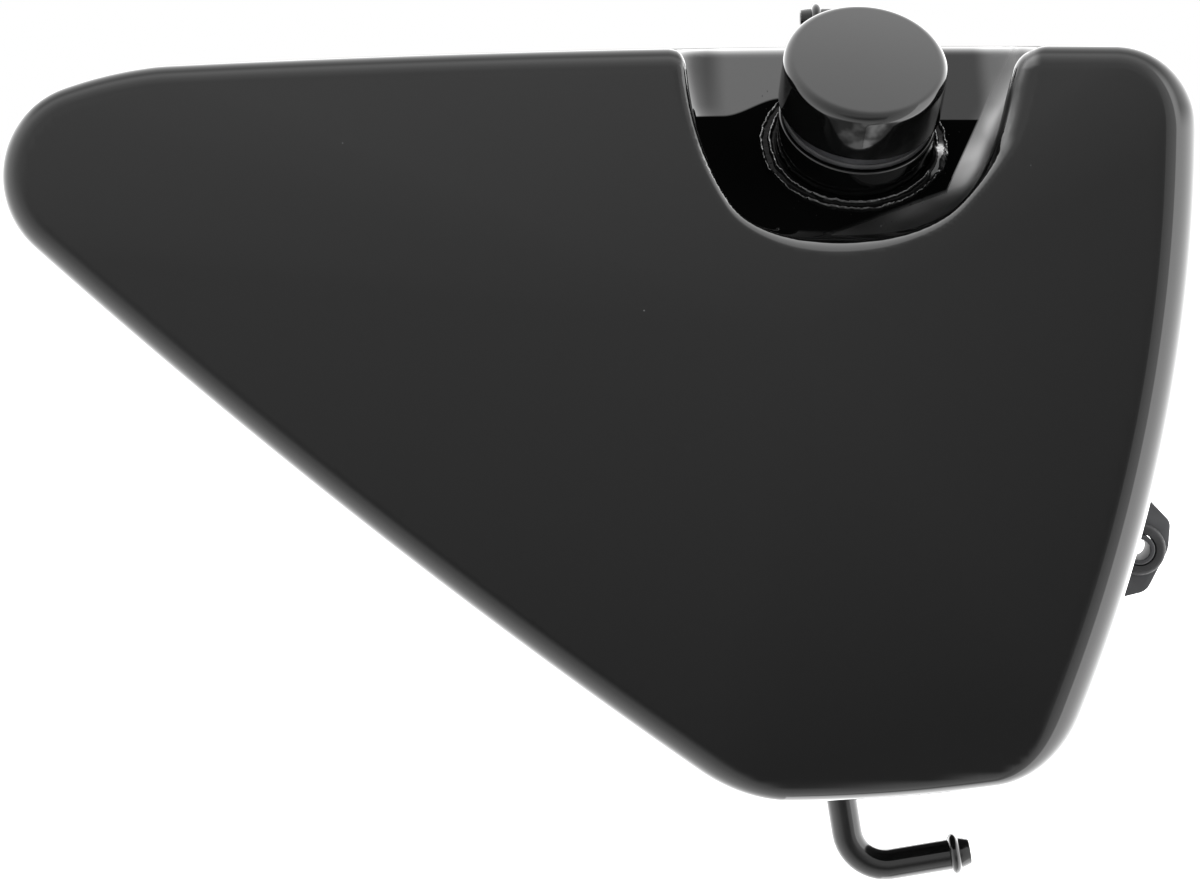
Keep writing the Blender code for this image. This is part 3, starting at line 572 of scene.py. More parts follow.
def outline_arcs():
    """The outline as arcs: centre, radius, first angle, clockwise turn, edge width at both ends."""
    circles = [side_circle(*side[:3]) for side in SIDES]
    count = len(SIDES)
    corners = []
    for i, side in enumerate(SIDES):
        after = SIDES[(i + 1) % count]
        near = (np.array(side[1]) + np.array(after[0])) / 2
        corners.append(corner_centre(circles[i], circles[(i + 1) % count], side[4], near))
    arcs = []
    for i, side in enumerate(SIDES):
        centre, radius = circles[i]
        after = (i + 1) % count
        first = angle_of(corners[i - 1] - centre)
        last = angle_of(corners[i] - centre)
        arcs.append((centre, radius, first, clockwise(first, last), side[3], side[3]))
        turn = clockwise(last, angle_of(corners[i] - circles[after][0]))
        if turn > 0.001:
            arcs.append((corners[i], side[4], last, turn, side[3], SIDES[after][3]))
    return arcs


ARCS = outline_arcs()


def outline_points(spacing):
    """Points on the outline, their outward directions and edge widths, evenly spaced."""
    places, outs, widths = [], [], []
    for centre, radius, first, turn, width_a, width_b in ARCS:
        steps = max(1, round(turn * radius / spacing))
        for i in range(steps):
            share = i / steps
            a = first - turn * share
            out = np.array((math.cos(a), math.sin(a)))
            places.append(centre + out * radius)
            outs.append(out)
            widths.append(width_a + (width_b - width_a) * smooth_step(share, 0, 1))
    return np.array(places), np.array(outs), np.array(widths)


def outline_ring(points, depth, inset):
    places, outs, _ = points
    return np.insert(places - outs * inset, 1, depth, axis=1)


# ---- Outer shell, as the zero level of a field ----

RIM_ARMS = (outline_points(2.0)[0] - FACE_CENTRE).T
RIM_ANGLES, RIM_REACH = angle_of(RIM_ARMS), np.hypot(*RIM_ARMS)


def outline_distance(x, z):
    """Distance to the outline, negative inside, and the edge width there."""
    best = np.full(x.shape, -1e6)
    width = np.full(x.shape, 10.0)
    for centre, radius, first, turn, width_a, width_b in ARCS:
        dx, dz = x - centre[0], z - centre[1]
        distance = np.hypot(dx, dz) - radius
        share = (first - np.arctan2(dz, dx)) % TAU / turn
        pick = (share <= 1.0) & (distance > best)
        best[pick] = distance[pick]
        width[pick] = width_a + (width_b - width_a) * smooth_step(share[pick], 0, 1)
    return best, width


def round_both(a, b, radius):
    """What lies in both shapes, with the edge between them rounded."""
    inside = np.minimum(-radius, np.maximum(a, b))
    return inside + np.hypot(np.maximum(a + radius, 0), np.maximum(b + radius, 0))


def body_field(p):
    distance, width = outline_distance(p[:, 0], p[:, 2])
    arm = (p[:, ::2] - FACE_CENTRE).T
    reach = np.interp(angle_of(arm), RIM_ANGLES, RIM_REACH, period=TAU)
    share = np.clip(np.hypot(*arm) / reach, 0, 1)
    face = FACE_Y - FACE_CROWN * (1 - share ** 2) - p[:, 1]
    return round_both(distance, face, width)


def floor_rise(radius):
    """Height of the recess floor above its plane, at a radius from its centre."""
    start = RECESS_RADIUS - FLOOR_ROUND
    into = np.clip(radius - start, 0, FLOOR_ROUND)
    return FLOOR_ROUND - np.sqrt(np.maximum(FLOOR_ROUND ** 2 - into ** 2, 0))


def lip_rise(down):
    """Height of the lip at the floor's lower end, at a distance down the floor."""
    return LIP_HEIGHT * smooth_step(down, *LIP_SPAN)


def shell_field(p):
    local = (p - RECESS_CENTRE) @ RECESS_AXES.T
    down = -local[:, 1]
    along = local[:, 2] - lip_rise(down)
    rear = smooth_step(local[:, 0], *REAR_SPAN)
    low = smooth_step(down, *LOW_SPAN)
    high = smooth_step(-down, *HIGH_SPAN)
    reach = np.hypot(local[:, 0] + WALL_SHIFT, np.minimum(local[:, 1], 0))
    wall = reach - RECESS_RADIUS - along * RECESS_DRAFT * rear + BEVEL_SHIFT + REAR_SHIFT * rear
    opening = FRONT_OPENING + (REAR_OPENING - FRONT_OPENING) * rear
    wall = wall - opening * smooth_step(-down, *OPENING_SPAN)
    recess = -round_both(-along, wall, FLOOR_ROUND + (LOW_ROUND - FLOOR_ROUND) * low)
    body = body_field(p)
    lean = BEVEL_LEAN + (BEVEL_LEAN_LOW - BEVEL_LEAN) * low
    cut = (BEVEL_CUT + (BEVEL_CUT_REAR - BEVEL_CUT) * rear * (1 - low)) * (1 - high)
    bevel = (body + lean * recess) / np.sqrt(1 + lean ** 2 + LOW_MEET * lean * low) + cut
    inner = BEVEL_INNER * (1 - BEVEL_INNER_LOSS * low)
    flare = FLARE_FRONT + (FLARE_REAR - FLARE_FRONT) * rear
    flare = flare * smooth_step(np.abs(local[:, 0]), *FLARE_SPAN) * smooth_step(-p[:, 1], *FLARE_DEPTH)
    crease = BEVEL_CREASE + (TOP_CREASE + flare) * high
    return round_both(round_both(bevel, recess, inner), body, crease)


def gradient(field, p, reach=0.02):
    steps = np.eye(3) * reach
    return np.column_stack([(field(p + s) - field(p - s)) / (2 * reach) for s in steps])


def graded(places):
    """Grid places along one axis, finer in its middle part."""
    parts = []
    for start, end, step in zip(places, places[1:], (NET_COARSE, NET_FINE, NET_COARSE)):
        if end > start:
            parts.append(np.linspace(start, end, round((end - start) / step), endpoint=False))
    return np.concatenate(parts + [[places[-1]]])


def surface_net(values, axes):
    """Quads near the zero level of values sampled on a grid, and which layer of Y each point is in."""
    size = values.shape
    cells = tuple(s - 1 for s in size)
    corners = {c: values[c[0]:c[0] + cells[0], c[1]:c[1] + cells[1], c[2]:c[2] + cells[2]]
               for c in product((0, 1), repeat=3)}
    inside = sum((v < 0).astype(int) for v in corners.values())
    active = (inside > 0) & (inside < 8)
    index = np.full(cells, -1)
    index[active] = np.arange(active.sum())
    total = np.zeros((*cells, 3))
    hits = np.zeros(cells)
    for c in corners:
        for axis in range(3):
            if c[axis]:
                continue
            d = list(c)
            d[axis] = 1
            a, b = corners[c], corners[tuple(d)]
            crosses = (a < 0) != (b < 0)
            share = np.where(crosses, a / np.where(crosses, a - b, 1), 0)
            spot = np.zeros((*cells, 3)) + np.array(c, float)
            spot[..., axis] = share
            total += np.where(crosses[..., None], spot, 0)
            hits += crosses
    where = np.argwhere(active)
    spots = where + total[active] / hits[active][:, None]
    points = np.column_stack([np.interp(spots[:, k], np.arange(size[k]), axes[k]) for k in range(3)])
    quads = []
    negative = values < 0
    for axis in range(3):
        b, c = (axis + 1) % 3, (axis + 2) % 3
        spots = np.argwhere(np.diff(negative, axis=axis))
        sides = spots[:, (b, c)]
        spots = spots[((sides > 0) & (sides < (size[b] - 1, size[c] - 1))).all(1)]
        flip = negative[tuple(spots.T)]
        ring = []
        for ob, oc in ((0, 0), (-1, 0), (-1, -1), (0, -1)):
            cell = spots.copy()
            cell[:, b] += ob
            cell[:, c] += oc
            ring.append(index[tuple(cell.T)])
        ring = np.column_stack(ring)
        ring[flip] = ring[flip][:, ::-1]
        quads.append(ring)
    return points, np.vstack(quads), where[:, 1]


def border_loops(quads):
    """Edges that only one quad uses, in that quad's direction."""
    edges = np.vstack([quads[:, [i, (i + 1) % 4]] for i in range(4)])
    _, place, count = np.unique(np.sort(edges), axis=0, return_inverse=True, return_counts=True)
    return edges[count[place.ravel()] == 1]


SETTLE_STEPS, LONGEST_STEP, FLAT_SLOPE = 6, 0.8, 0.05  # how grid points settle on the surface
HOLE_DEPTH, HOLE_EDGE = 14.0, 4.0  # where the neck's hole is looked for, along and round its axis


def outer_shell_mesh():
    """The outer shell as one sheet of even thickness, with the neck's hole cut and its edge made round."""
    axes = [graded(places) for places in (NET_X, NET_Y, NET_Z)]
    grid = np.stack(np.meshgrid(*axes, indexing="ij"), -1).reshape(-1, 3)
    values = shell_field(grid).reshape([len(axis) for axis in axes])
    points, quads, layer = surface_net(values, axes)
    rim = layer == layer.max()
    for _ in range(SETTLE_STEPS):
        value = shell_field(points)
        slope = gradient(shell_field, points)
        slope[rim, 1] = 0
        slope_size = np.maximum((slope ** 2).sum(1), FLAT_SLOPE)
        points = points - slope * np.clip(value / slope_size, -LONGEST_STEP, LONGEST_STEP)[:, None]
        points[rim, 1] = SEAM_Y

    local = (points - NECK_CENTRE) @ NECK_AXES.T
    radius = np.hypot(local[:, 0], local[:, 1])
    hole_radius = NECK_RADIUS + GAP
    centre = radius[quads].mean(1)
    quads = quads[~((centre < hole_radius) & (np.abs(local[quads][:, :, 2]).max(1) < HOLE_DEPTH))]
    edge = border_loops(quads)
    lip = np.unique(edge)
    lip = lip[(radius[lip] < hole_radius + HOLE_EDGE) & (np.abs(local[lip, 2]) < HOLE_DEPTH)]
    moved = local[lip]
    moved[:, :2] *= (hole_radius / radius[lip])[:, None]
    points[lip] = NECK_CENTRE + moved @ NECK_AXES
    for _ in range(4):
        value = shell_field(points[lip])
        slope = gradient(shell_field, points[lip]) @ NECK_AXES[2]
        points[lip] -= np.outer(value / slope, NECK_AXES[2])

    used, quads_new = np.unique(quads, return_inverse=True)
    quads = quads_new.reshape(-1, 4)
    points = points[used]
    diagonals = points[quads[:, 2:]] - points[quads[:, :2]]
    normals = gradient(shell_field, points)
    if (np.cross(diagonals[:, 0], diagonals[:, 1]) * normals[quads[:, 0]]).sum() < 0:
        quads = quads[:, ::-1]
    normals /= np.linalg.norm(normals, axis=1)[:, None]
    at_rim = points[:, 1] > SEAM_Y - 0.01
    inward = normals.copy()
    inward[at_rim, 1] = 0
    inward /= np.linalg.norm(inward, axis=1)[:, None]
    inner = points - inward * SHEET
    edge = border_loops(quads)
    count = len(points)
    rim_quads = np.column_stack([edge[:, 1], edge[:, 0], edge[:, 0] + count, edge[:, 1] + count])
    faces = np.vstack([quads, quads[:, ::-1] + count, rim_quads])
    mesh = mesh_from(np.vstack([points, inner]), faces.tolist())
    corner = np.vstack([normals, -normals])[faces.ravel()]
    flat = np.array([p.normal for p in mesh.polygons[2 * len(quads):]])
    corner[8 * len(quads):] = np.repeat(flat, 4, axis=0)
    mesh.shade_smooth()
    mesh.normals_split_custom_set(corner)
    return mesh


# ---- Back shell and seam ----

def back_shell_mesh():
    points = outline_points(2.6)
    shoulder = BACK_Y - BACK_EDGE
    middle = np.array((FACE_CENTRE[0], 0, FACE_CENTRE[1]))

    def side(inset):
        start = SHEET + GAP + inset
        size = BACK_EDGE - inset
        rings = [outline_ring(points, SEAM_Y - LAP, start)]
        for i in range(13):
            a = math.pi / 2 * i / 12
            depth, inward = shoulder + size * math.sin(a), start + size * (1 - math.cos(a))
            rings.append(outline_ring(points, depth, inward))
        flat = rings[-1]
        for share in (0.94, 0.7, 0.4):
            ring = middle + (flat - middle) * share
            ring[:, 1] = flat[0, 1]
            rings.append(ring)
        return rings

    outside, inside = side(0.0), side(SHEET)
    poles = (np.array((middle[0], BACK_Y, middle[2])), np.array((middle[0], BACK_Y - SHEET, middle[2])))
    mesh = skin_rings(outside[::-1] + inside, poles)
    holes = [((x, BACK_Y - 8, z), (0, 1, 0), 6.0, 16.0) for x, z in STUDS.values()]
    return cut_holes(mesh, holes)


def seam_weld_mesh():
    """A run of overlapping weld ripples in the step between the shells."""
    points = outline_points(0.62)
    count = len(points[0])
    ripple = 0.5 + 0.5 * np.cos(np.arange(count) * TAU / 4.0)
    wander = np.array([noise.noise(Vector((i * 0.043, 0.0, 3.1))) for i in range(count)])
    size = 0.86 + 0.14 * ripple + 0.16 * wander
    near = SEAM_Y + GAP
    rings = []
    for share, out in ((0.0, 0.10), (0.0, 1.0), (1.0, 1.0), (0.86, 0.72), (0.62, 0.42), (0.32, 0.18)):
        ring = outline_ring(points, near, SHEET * out)
        if share:
            ring[:, 1] = near + 2.5 * share * size
        rings.append(ring)
    return skin_rings(rings, wrap=True)


# ---- Neck and cap ----

def thread(wall, start, depth, low=-math.inf, high=math.inf):
    """A warp that runs a helical ridge up a wall between two heights; a negative depth stands inwards."""
    def warp(radius, height, angle):
        if abs(radius - wall) > 1e-6 or not low < height < high:
            return radius, height
        total = 0.0
        for turn in range(math.ceil(THREAD_TURNS)):
            travel = turn + angle / TAU
            ends = min(1.0, travel * 8, (THREAD_TURNS - travel) * 8)
            if ends > 0:
                across = (height - start - PITCH * travel) / THREAD_WIDTH
                total = max(total, ends * (1 - across ** 2))
        return radius + total * depth, height
    return warp


def neck_mesh():
    wall = [(NECK_BORE, z) for z in np.linspace(NECK_TOP - 0.5, 1.0, 36)]
    profile = ([(NECK_BORE, NECK_FOOT), (NECK_RADIUS, NECK_FOOT)]
               + arc((NECK_RADIUS - 0.5, NECK_TOP - 0.5), 0.5, 0, 90, 5)
               + arc((NECK_BORE + 0.4, NECK_TOP - 0.4), 0.4, 90, 180, 4) + wall)
    return lathe(profile, NECK_FRAME, 160, thread(NECK_BORE, 2.2, -1.2, low=NECK_FOOT + 1))


def weld_noise(angle, place, scale):
    return noise.noise(Vector((math.cos(angle) * scale, math.sin(angle) * scale, place)))


def neck_weld_mesh():
    """A ragged double bead round the neck, a lump at its rear side and spatter on the floor."""
    segments, steps = 440, 22
    inner, outer = NECK_RADIUS + 0.15, NECK_RADIUS + 4.9
    shift = NECK_CENTRE - RECESS_CENTRE
    rings = []
    for i in range(segments):
        top, bottom = [], []
        a = TAU * i / segments
        lump = math.exp(-((a + 0.30 + math.pi) % TAU - math.pi) ** 2 / 0.05)
        edge = outer + 0.5 * weld_noise(a, 1.0, 7.0) + 0.25 * weld_noise(a, 2.0, 26.0) + 0.8 * lump
        ridge_in = 1.15 + 0.5 * weld_noise(a, 5.0, 12.0) + 0.3 * weld_noise(a, 6.0, 34.0)
        ridge_out = 1.0 + 0.5 * weld_noise(a, 8.0, 9.0) + 0.3 * weld_noise(a, 9.0, 38.0)
        groove = 0.30 + 0.10 * weld_noise(a, 11.0, 6.0)
        far = 0.84 + 0.07 * weld_noise(a, 13.0, 11.0)
        for k in range(steps + 1):
            t = k / steps
            r = inner + (edge - inner) * t
            first = ridge_in * max(0.0, 1 - ((t - groove) / 0.13) ** 2)
            second = ridge_out * max(0.0, 1 - ((t - far) / 0.11) ** 2)
            mound = 2.6 * lump * max(0.0, 1 - ((t - 0.45) / 0.5) ** 2)
            h = max(first, second, mound) + 0.3 + 0.06 * weld_noise(a, 20.0 + 4 * t, 60.0)
            if k == steps:
                h = -0.25
            x, y = r * math.cos(a) + shift[0], r * math.sin(a)
            floor = float(floor_rise(np.hypot(x, y)) + lip_rise(-y))
            top.append((x, y, floor + h))
            bottom.append((x, y, floor - 0.5))
        rings.append(top + bottom[::-1])
    local = skin_rings(rings, wrap=True)
    work = bmesh.new()
    work.from_mesh(local)
    rng = np.random.default_rng(7)
    for _ in range(46):
        a = rng.uniform(-math.pi, math.pi)
        if rng.uniform() < 0.6:
            a = rng.normal(-0.9, 0.6)
        r = NECK_RADIUS + 5.6 + abs(rng.normal(0, 4.0))
        size = rng.uniform(0.10, 0.24)
        x, y = r * math.cos(a) + shift[0], r * math.sin(a)
        if r > 40 or y > 26:
            continue
        h = float(floor_rise(np.hypot(x, y)) + lip_rise(-y))
        spot = Matrix.Translation(Vector((x, y, h + size * 0.2)) * MM) @ Matrix.Diagonal((1, 1, 0.7, 1))
        bmesh.ops.create_icosphere(work, subdivisions=2, radius=size * MM, matrix=spot)
    work.to_mesh(local)
    work.free()
    return move_to(local, RECESS_FRAME)


def cap_cover_mesh():
    edge = COVER_RADIUS - COVER_EDGE
    inner_edge = COVER_EDGE - COVER_WALL
    dome = [(edge * s, COVER_TOP + COVER_DOME * (1 - s * s)) for s in np.linspace(0, 0.97, 14)]
    outside = arc((edge, COVER_TOP - COVER_EDGE), COVER_EDGE, 90, 0, 14)
    wall = [(COVER_RADIUS, z) for z in np.linspace(COVER_TOP - COVER_EDGE - 1, COVER_BOTTOM + 1.2, 6)]
    lip = arc((COVER_RADIUS - 0.5, COVER_BOTTOM + 0.5), 0.5, 0, -90, 4)
    inside = arc((edge, COVER_TOP - COVER_EDGE), inner_edge, 0, 90, 6)
    profile = dome + outside + wall + lip + [(COVER_RADIUS - COVER_WALL, COVER_BOTTOM)] + inside
    profile += [(0.0, COVER_TOP - COVER_WALL)]
    return lathe(profile, NECK_FRAME, 192)


def cap_body_mesh():
    plug_wall = [(PLUG_RADIUS, z) for z in np.linspace(BAND_BOTTOM - 0.2, PLUG_BOTTOM + 0.6, 44)]
    profile = (rounded([
        (2.2, HEAD_TOP, 0), (4.2, HEAD_TOP, 0.4), (4.2, 16.9, 0.4), (BAND_RADIUS - 2, 16.9, 0.6),
        (BAND_RADIUS - 2, HEAD_TOP, 0.3), (BAND_RADIUS, HEAD_TOP, 0.4), (BAND_RADIUS, BAND_BOTTOM, 0.35),
        (PLUG_RADIUS, BAND_BOTTOM, 0)])
        + plug_wall
        + rounded([
            (PLUG_RADIUS, PLUG_BOTTOM, 0.5), (17.6, PLUG_BOTTOM, 0.5), (17.6, 12.4, 0.6), (8.2, 12.4, 0.6),
            (8.2, 4.0, 0.3), (6.4, 4.0, 0.2), (6.4, 13.9, 0.2), (2.2, 13.9, 0)]))
    return lathe(profile, NECK_FRAME, 160, thread(PLUG_RADIUS, 4.2, 1.4, high=BAND_BOTTOM - 0.1))


def gasket_mesh():
    low, high = 11.6, 13.6
    inner = PLUG_RADIUS + GAP
    profile = rounded([
        (inner, low, 0.3), (BAND_RADIUS, low, 0.7), (BAND_RADIUS, high, 0.7), (inner, high, 0.3)])
    return lathe(profile, NECK_FRAME, 128)


# ---- Pipes ----

def bent_path(start, corner, end, bend):
    start, corner, end = (np.array(p, float) for p in (start, corner, end))
    first, second = unit(corner - start), unit(end - corner)
    turn = math.acos(float(first @ second))
    cut = bend * math.tan(turn / 2)
    run_in = np.linalg.norm(corner - start) - cut
    total = run_in + bend * turn + np.linalg.norm(end - corner) - cut
    side = unit(np.cross(first, second))
    lean = np.cross(side, first)

    def place(length):
        if length <= run_in:
            return start + first * length, first
        if length < run_in + bend * turn:
            a = (length - run_in) / bend
            heading = first * math.cos(a) + lean * math.sin(a)
            pivot = start + first * run_in + lean * bend
            return pivot - np.cross(side, heading) * bend, heading
        return end - second * (total - length), second
    return place, side, total


def pipe_mesh(ends, bend, radius, bore, tip, segments=56):
    """A hose pipe with a rolled bead and a tapered, rounded tip."""
    place, side, total = bent_path(*ends, bend)
    bead_start = total - TIP_LENGTH - BEAD_WIDTH
    lengths = list(np.linspace(0, bead_start - 0.3, 44))
    outer = [(s, radius) for s in lengths]
    for t in np.linspace(0, 1, 15):
        swell = max(0.0, math.sin(math.pi * t)) ** 0.62
        outer.append((bead_start + BEAD_WIDTH * t, radius + BEAD_HEIGHT * swell))
    end_round = 0.35
    for t in np.linspace(0.12, 1, 5):
        taper = radius + (tip - radius) * t ** 1.3
        outer.append((bead_start + BEAD_WIDTH + (TIP_LENGTH - end_round) * t, taper))
    for a in (30, 60, 90):
        outer.append((total - end_round * (1 - math.sin(math.radians(a))),
                      tip - end_round * (1 - math.cos(math.radians(a)))))
    inner = [(total, bore + 0.25), (total - 0.25, bore)] + [(s, bore) for s in lengths[::-1]]
    rings = []
    angles = np.linspace(0, TAU, segments, endpoint=False)
    for length, size in outer + inner:
        centre, heading = place(length)
        across = np.cross(side, heading)
        rings.append(centre + size * (np.outer(np.cos(angles), side) + np.outer(np.sin(angles), across)))
    return skin_rings(rings, wrap=True)


def collar_mesh(start, direction, at, radius, height, width, seed):
    """A small lumpy weld ring round a pipe."""
    heading = Vector(direction).normalized()
    place = facing_along(Vector(start) + heading * at, heading)
    inner = radius + 0.1
    profile = [(inner, 0.0), (radius + width, 0.0)]
    profile += [(inner + width * math.cos(a) ** 0.8, height * math.sin(a) ** 0.9)
                for a in np.linspace(0.12, math.pi / 2, 9)]

    def warp(r, h, a):
        lump = 1 + 0.14 * math.sin(9 * a + seed) + 0.22 * weld_noise(a, seed, 3.0)
        return inner + (r - inner) * lump, h * lump
    return lathe(profile, place, 96, warp)


# ---- Mounts ----

def facing_inboard(x, z):
    return Matrix.Translation((x, 0, z)) @ Matrix.Rotation(-math.pi / 2, 4, "X")


def tab_mesh():
    outline = rounded(TAB_OUTLINE, steps=14)
    ring = np.array([(x, 0.0, z) for x, z in outline])
    centre = np.array((-18.0, 0.0, 1.0))
    rings = []
    soft = 0.55
    for y, inset in ((TAB_FRONT, soft), (TAB_FRONT + 0.16, 0.16), (TAB_FRONT + soft, 0.0),
                     (TAB_BACK - soft, 0.0), (TAB_BACK - 0.16, 0.16), (TAB_BACK, soft)):
        reach = np.linalg.norm(ring - centre, axis=1)[:, None]
        moved = centre + (ring - centre) * (1 - inset / reach)
        moved[:, 1] = y
        rings.append(moved)
    mesh = skin_rings(rings)
    return cut_holes(mesh, [((0, -16, 0), (0, 1, 0), TAB_HOLE, 12.0)])


def grommet_mesh():
    low, high = -12.0, -8.4
    profile = rounded([
        (5.05, low - 2.2, 0.35), (8.3, low - 2.2, 1.3), (8.3, low, 0.25), (6.3, low, 0.2),
        (6.3, high, 0.2), (8.3, high, 0.25), (8.3, high + 2.2, 1.3), (5.05, high + 2.2, 0.35)])
    return lathe(profile, facing_inboard(0, 0), 112)


def sleeve_mesh():
    profile = rounded([(3.25, -14.6, 0.25), (4.75, -14.6, 0.4), (4.75, 0.0, 0.4), (3.25, 0.0, 0.25)])
    return lathe(profile, facing_inboard(0, 0), 96)


def stud_meshes(x, z):
    """Bung, bobbin and stud of one mount; the stud carries an M6 thread."""
    place = facing_inboard(x, z)
    flange = BACK_Y + GAP
    bung = rounded([(0, BACK_Y - 14, 0), (5.7, BACK_Y - 14, 0.4), (5.7, flange, 0), (10.0, flange, 0.3),
                    (10.0, flange + 1.8, 0.6), (0, flange + 1.8, 0)])
    low, high = flange + 1.8 + GAP, -1.6 - GAP
    waist = [(9.6 + 1.4 * abs(2 * t - 1) ** 1.8, low + 0.8 + (high - low - 1.6) * t)
             for t in np.linspace(0, 1, 17)]
    bobbin = [(0, low), (10.7, low), (11.0, low + 0.3)] + waist
    bobbin += [(11.0, high - 0.3), (10.7, high), (0, high)]
    shank = [(STUD_RADIUS, h) for h in np.linspace(1.4, 15.4, 113)]
    stud = rounded([(0, -1.6, 0), (11.0, -1.6, 0.35), (11.0, 0.0, 0.35), (STUD_RADIUS, 0.0, 0.2)])
    stud += shank + [(2.4, 16.0), (0, 16.0)]

    def warp(r, h, a):
        if abs(r - STUD_RADIUS) < 1e-6 and h > 1.3:
            phase = (h + a / TAU) % 1.0
            fade = min(1.0, (h - 1.3) / 0.8)
            return r - 0.58 * fade * (1 - abs(2 * phase - 1)) ** 0.9, h
        return r, h
    return lathe(bung, place, 96), lathe(bobbin, place, 96), lathe(stud, place, 64, warp)


def outline_at(x, start, end):
    """Where a line at x from one height to another enters the outline."""
    z = np.linspace(start, end, 4400)
    distance, _ = outline_distance(np.full(z.shape, x), z)
    return float(z[np.argmax(distance < 0)])


# ---- Build ----

def outlet_weld_mesh():
    start, corner, _ = OUTLET
    down = unit(np.array(corner) - np.array(start))
    drop = (start[2] - outline_at(start[0], -70, 40) + 1.4) / -down[2]
    return collar_mesh(start, down, drop, OUTLET_SIZES[1], 2.0, 2.4, 1.7)


def vent_weld_mesh():
    start = VENT[0]
    rise = outline_at(start[0], 170, 100) - start[2] + GAP + 0.3
    return collar_mesh(start, (0, 0, 1), rise, VENT_SIZES[1], 1.6, 1.8, 4.1)


def add_vent_spring():
    """The cap's vent spring, copied from its CAD mesh; it rides with the cap."""
    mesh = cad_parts["cap_vent_spring"].data.copy()
    spring = new_piece("cap_vent_spring", mesh, "zinc_plate", SOFT, "cap")
    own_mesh(spring)


def build_pieces():
    new_piece("outer_shell", outer_shell_mesh(), "gloss_enamel", smooth=0, look="shell_enamel")
    new_piece("back_shell", back_shell_mesh(), "gloss_enamel")
    new_piece("seam_weld", seam_weld_mesh(), "weld_enamel", WELDED)
    new_piece("filler_neck", neck_mesh(), "gloss_enamel")
    new_piece("neck_weld", neck_weld_mesh(), "weld_enamel", SOFT, look="bead_enamel")
    new_piece("cap_cover", cap_cover_mesh(), "cap_enamel", body="cap")
    new_piece("cap_body", cap_body_mesh(), "moulding", body="cap")
    new_piece("cap_gasket", gasket_mesh(), "rubber", body="cap_seal")
    new_piece("outlet_pipe", pipe_mesh(OUTLET, *OUTLET_SIZES), "pipe_enamel")
    new_piece("vent_pipe", pipe_mesh(VENT, *VENT_SIZES), "pipe_enamel")
    new_piece("outlet_weld", outlet_weld_mesh(), "weld_enamel", WELDED)
    new_piece("vent_weld", vent_weld_mesh(), "weld_enamel", WELDED)
    new_piece("rear_tab", tab_mesh(), "satin_enamel")
    new_piece("rear_grommet", grommet_mesh(), "rubber")
    new_piece("rear_sleeve", sleeve_mesh(), "satin_enamel")
    for name, (x, z) in STUDS.items():
        kinds = (("bung", "satin_enamel"), ("bobbin", "rubber"), ("stud", "zinc_plate"))
        for (kind, slot), mesh in zip(kinds, stud_meshes(x, z)):
            new_piece(f"{name}_{kind}", mesh, slot)
    add_vent_spring()
    kept = {"baffle_plate": "bare_steel", "outlet_strainer": "bare_steel", "cap_vent_valve": "rubber",
            "cap_vent_retainer": "zinc_plate"}
    for node, slot in kept.items():
        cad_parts[node].data.materials.clear()
        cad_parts[node].data.materials.append(MATERIALS[slot])


# ---- Studio ----

# Levels of the tent, by degrees away from straight outboard: from, to, level reached
RING = ((50, 75, 2.4), (75, 91, 2.8), (91, 107, 3.5), (107, 150, 5.2))
BEHIND = 0.75  # level straight behind the tank
BRIGHT_SIDE = (1.25, 2.2, 4.6, 6.0)  # levels of the tent beyond the tank's rear, going round
LENS, SENSOR = 117.3, 36.0
CAMERA_PLACE, CAMERA_PITCH = (-0.1704, -1.2387, 0.1524), math.radians(84.5)
FLOOR_PLACE, FLOOR_RADIUS = (-0.17, 0.0, -0.1), 6.0


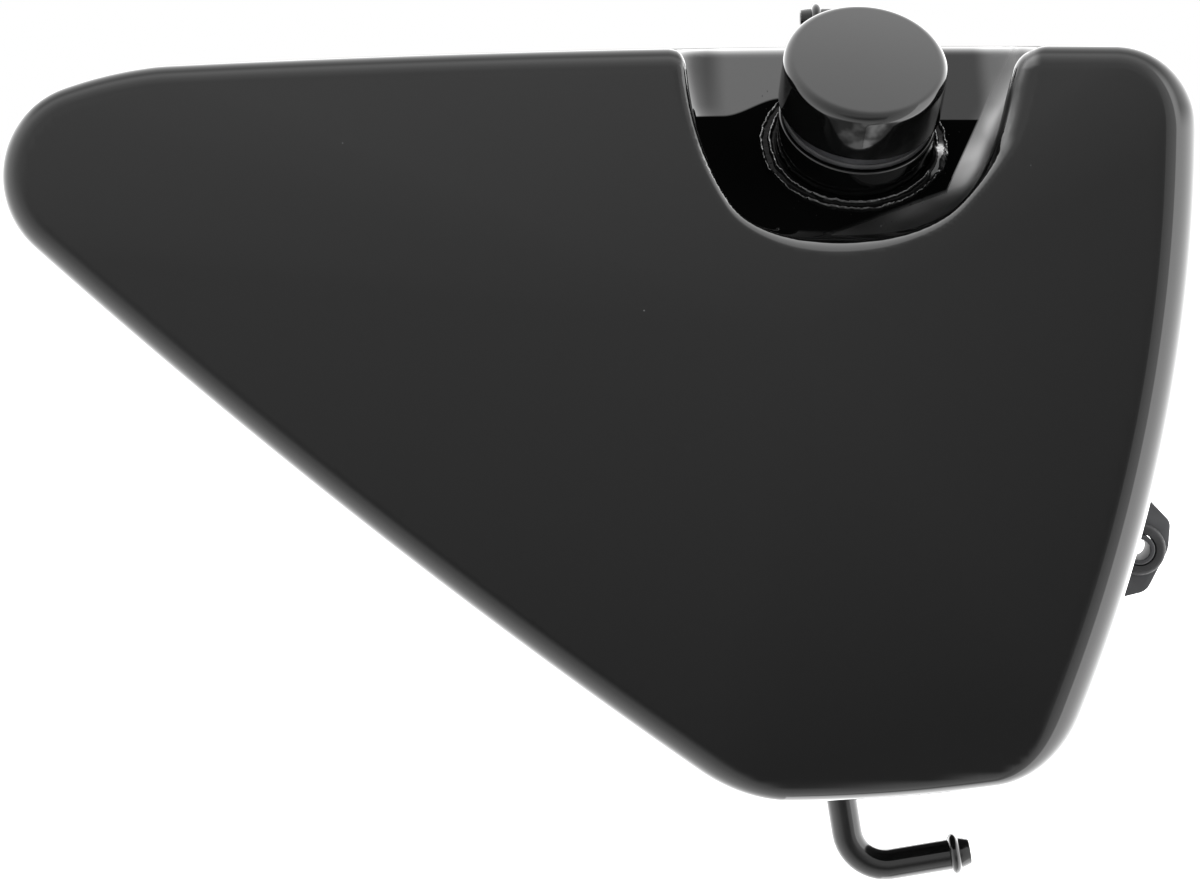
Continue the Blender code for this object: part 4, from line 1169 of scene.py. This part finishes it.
def studio_world():
    """A soft tent, dimmer where the camera stands and brighter above and beside; the camera sees white."""
    world = bpy.data.worlds.new("studio")
    bpy.context.scene.world = world
    world.use_nodes = True
    tree = world.node_tree
    background = tree.nodes["Background"]
    x, y, z = separate(tree, tree.nodes.new("ShaderNodeTexCoord").outputs["Generated"])
    to_front = times(tree, y, -1.0)
    yaw = math_node(tree, "DEGREES", math_node(tree, "ARCTAN2", x, to_front))
    rise = math_node(tree, "DEGREES", math_node(tree, "ARCSINE", z))

    level = math_node(tree, "MULTIPLY_ADD", z, 1.8, 0.84)
    level = math_node(tree, "MULTIPLY_ADD", x, -0.6, level)
    level = math_node(tree, "MAXIMUM", level, 0.35)
    level = math_node(tree, "MINIMUM", level, 1.1)

    turn = math_node(tree, "DEGREES", math_node(tree, "ARCCOSINE", to_front))
    ring = remap(tree, turn, 20, 50, 1.0, 1.5, smooth=False)
    for start, end, bright in RING:
        ring = blend_values(tree, remap(tree, turn, start, end, smooth=False), ring, bright)
    level = blend_values(tree, remap(tree, turn, 14, 46), level, ring)

    dim, fair, bright, brightest = BRIGHT_SIDE
    side = blend_values(tree, remap(tree, yaw, 28, 56, smooth=False), dim, fair)
    side = blend_values(tree, remap(tree, yaw, 55.5, 58), side, bright)
    side = blend_values(tree, remap(tree, yaw, 70, 130), side, brightest)
    beside = times(tree, remap(tree, yaw, 27, 28.5), remap(tree, rise, 50, 20))
    level = blend_values(tree, beside, level, side)
    level = blend_values(tree, remap(tree, turn, 156, 168), level, BEHIND)

    tree.links.new(level, background.inputs["Strength"])
    background.inputs["Color"].default_value = (1, 1, 1, 1)
    paper = add_node(tree, "Background", {"Color": (1, 1, 1, 1)}).outputs[0]
    seen = tree.nodes.new("ShaderNodeLightPath").outputs["Is Camera Ray"]
    mix = add_node(tree, "MixShader", {0: seen, 1: background.outputs[0], 2: paper})
    tree.links.new(mix.outputs[0], tree.nodes["World Output"].inputs["Surface"])


def studio_floor():
    work = bmesh.new()
    bmesh.ops.create_circle(work, cap_ends=True, segments=96, radius=FLOOR_RADIUS)
    mesh = bpy.data.meshes.new("floor")
    work.to_mesh(mesh)
    work.free()
    floor = add_object("floor", mesh)
    floor.location = FLOOR_PLACE
    mat, tree = new_material("pale_floor")
    colour = colour_between(tree, mottle(tree, 3.0, 2.0), (0.86, 0.86, 0.86), (0.9, 0.9, 0.9))
    connect(tree, [colour])
    tree.nodes["Principled BSDF"].inputs["Roughness"].default_value = 0.9
    mesh.materials.append(mat)
    floor.visible_glossy = False


def camera():
    data = bpy.data.cameras.new("camera")
    data.lens = LENS
    data.sensor_width = SENSOR
    data.clip_end = 50.0
    obj = add_object("camera", data)
    obj.location = CAMERA_PLACE
    obj.rotation_euler = (CAMERA_PITCH, 0, 0)
    bpy.context.scene.camera = obj


build_pieces()
studio_world()
studio_floor()
camera()
bpy.context.scene.view_settings.view_transform = "Standard"
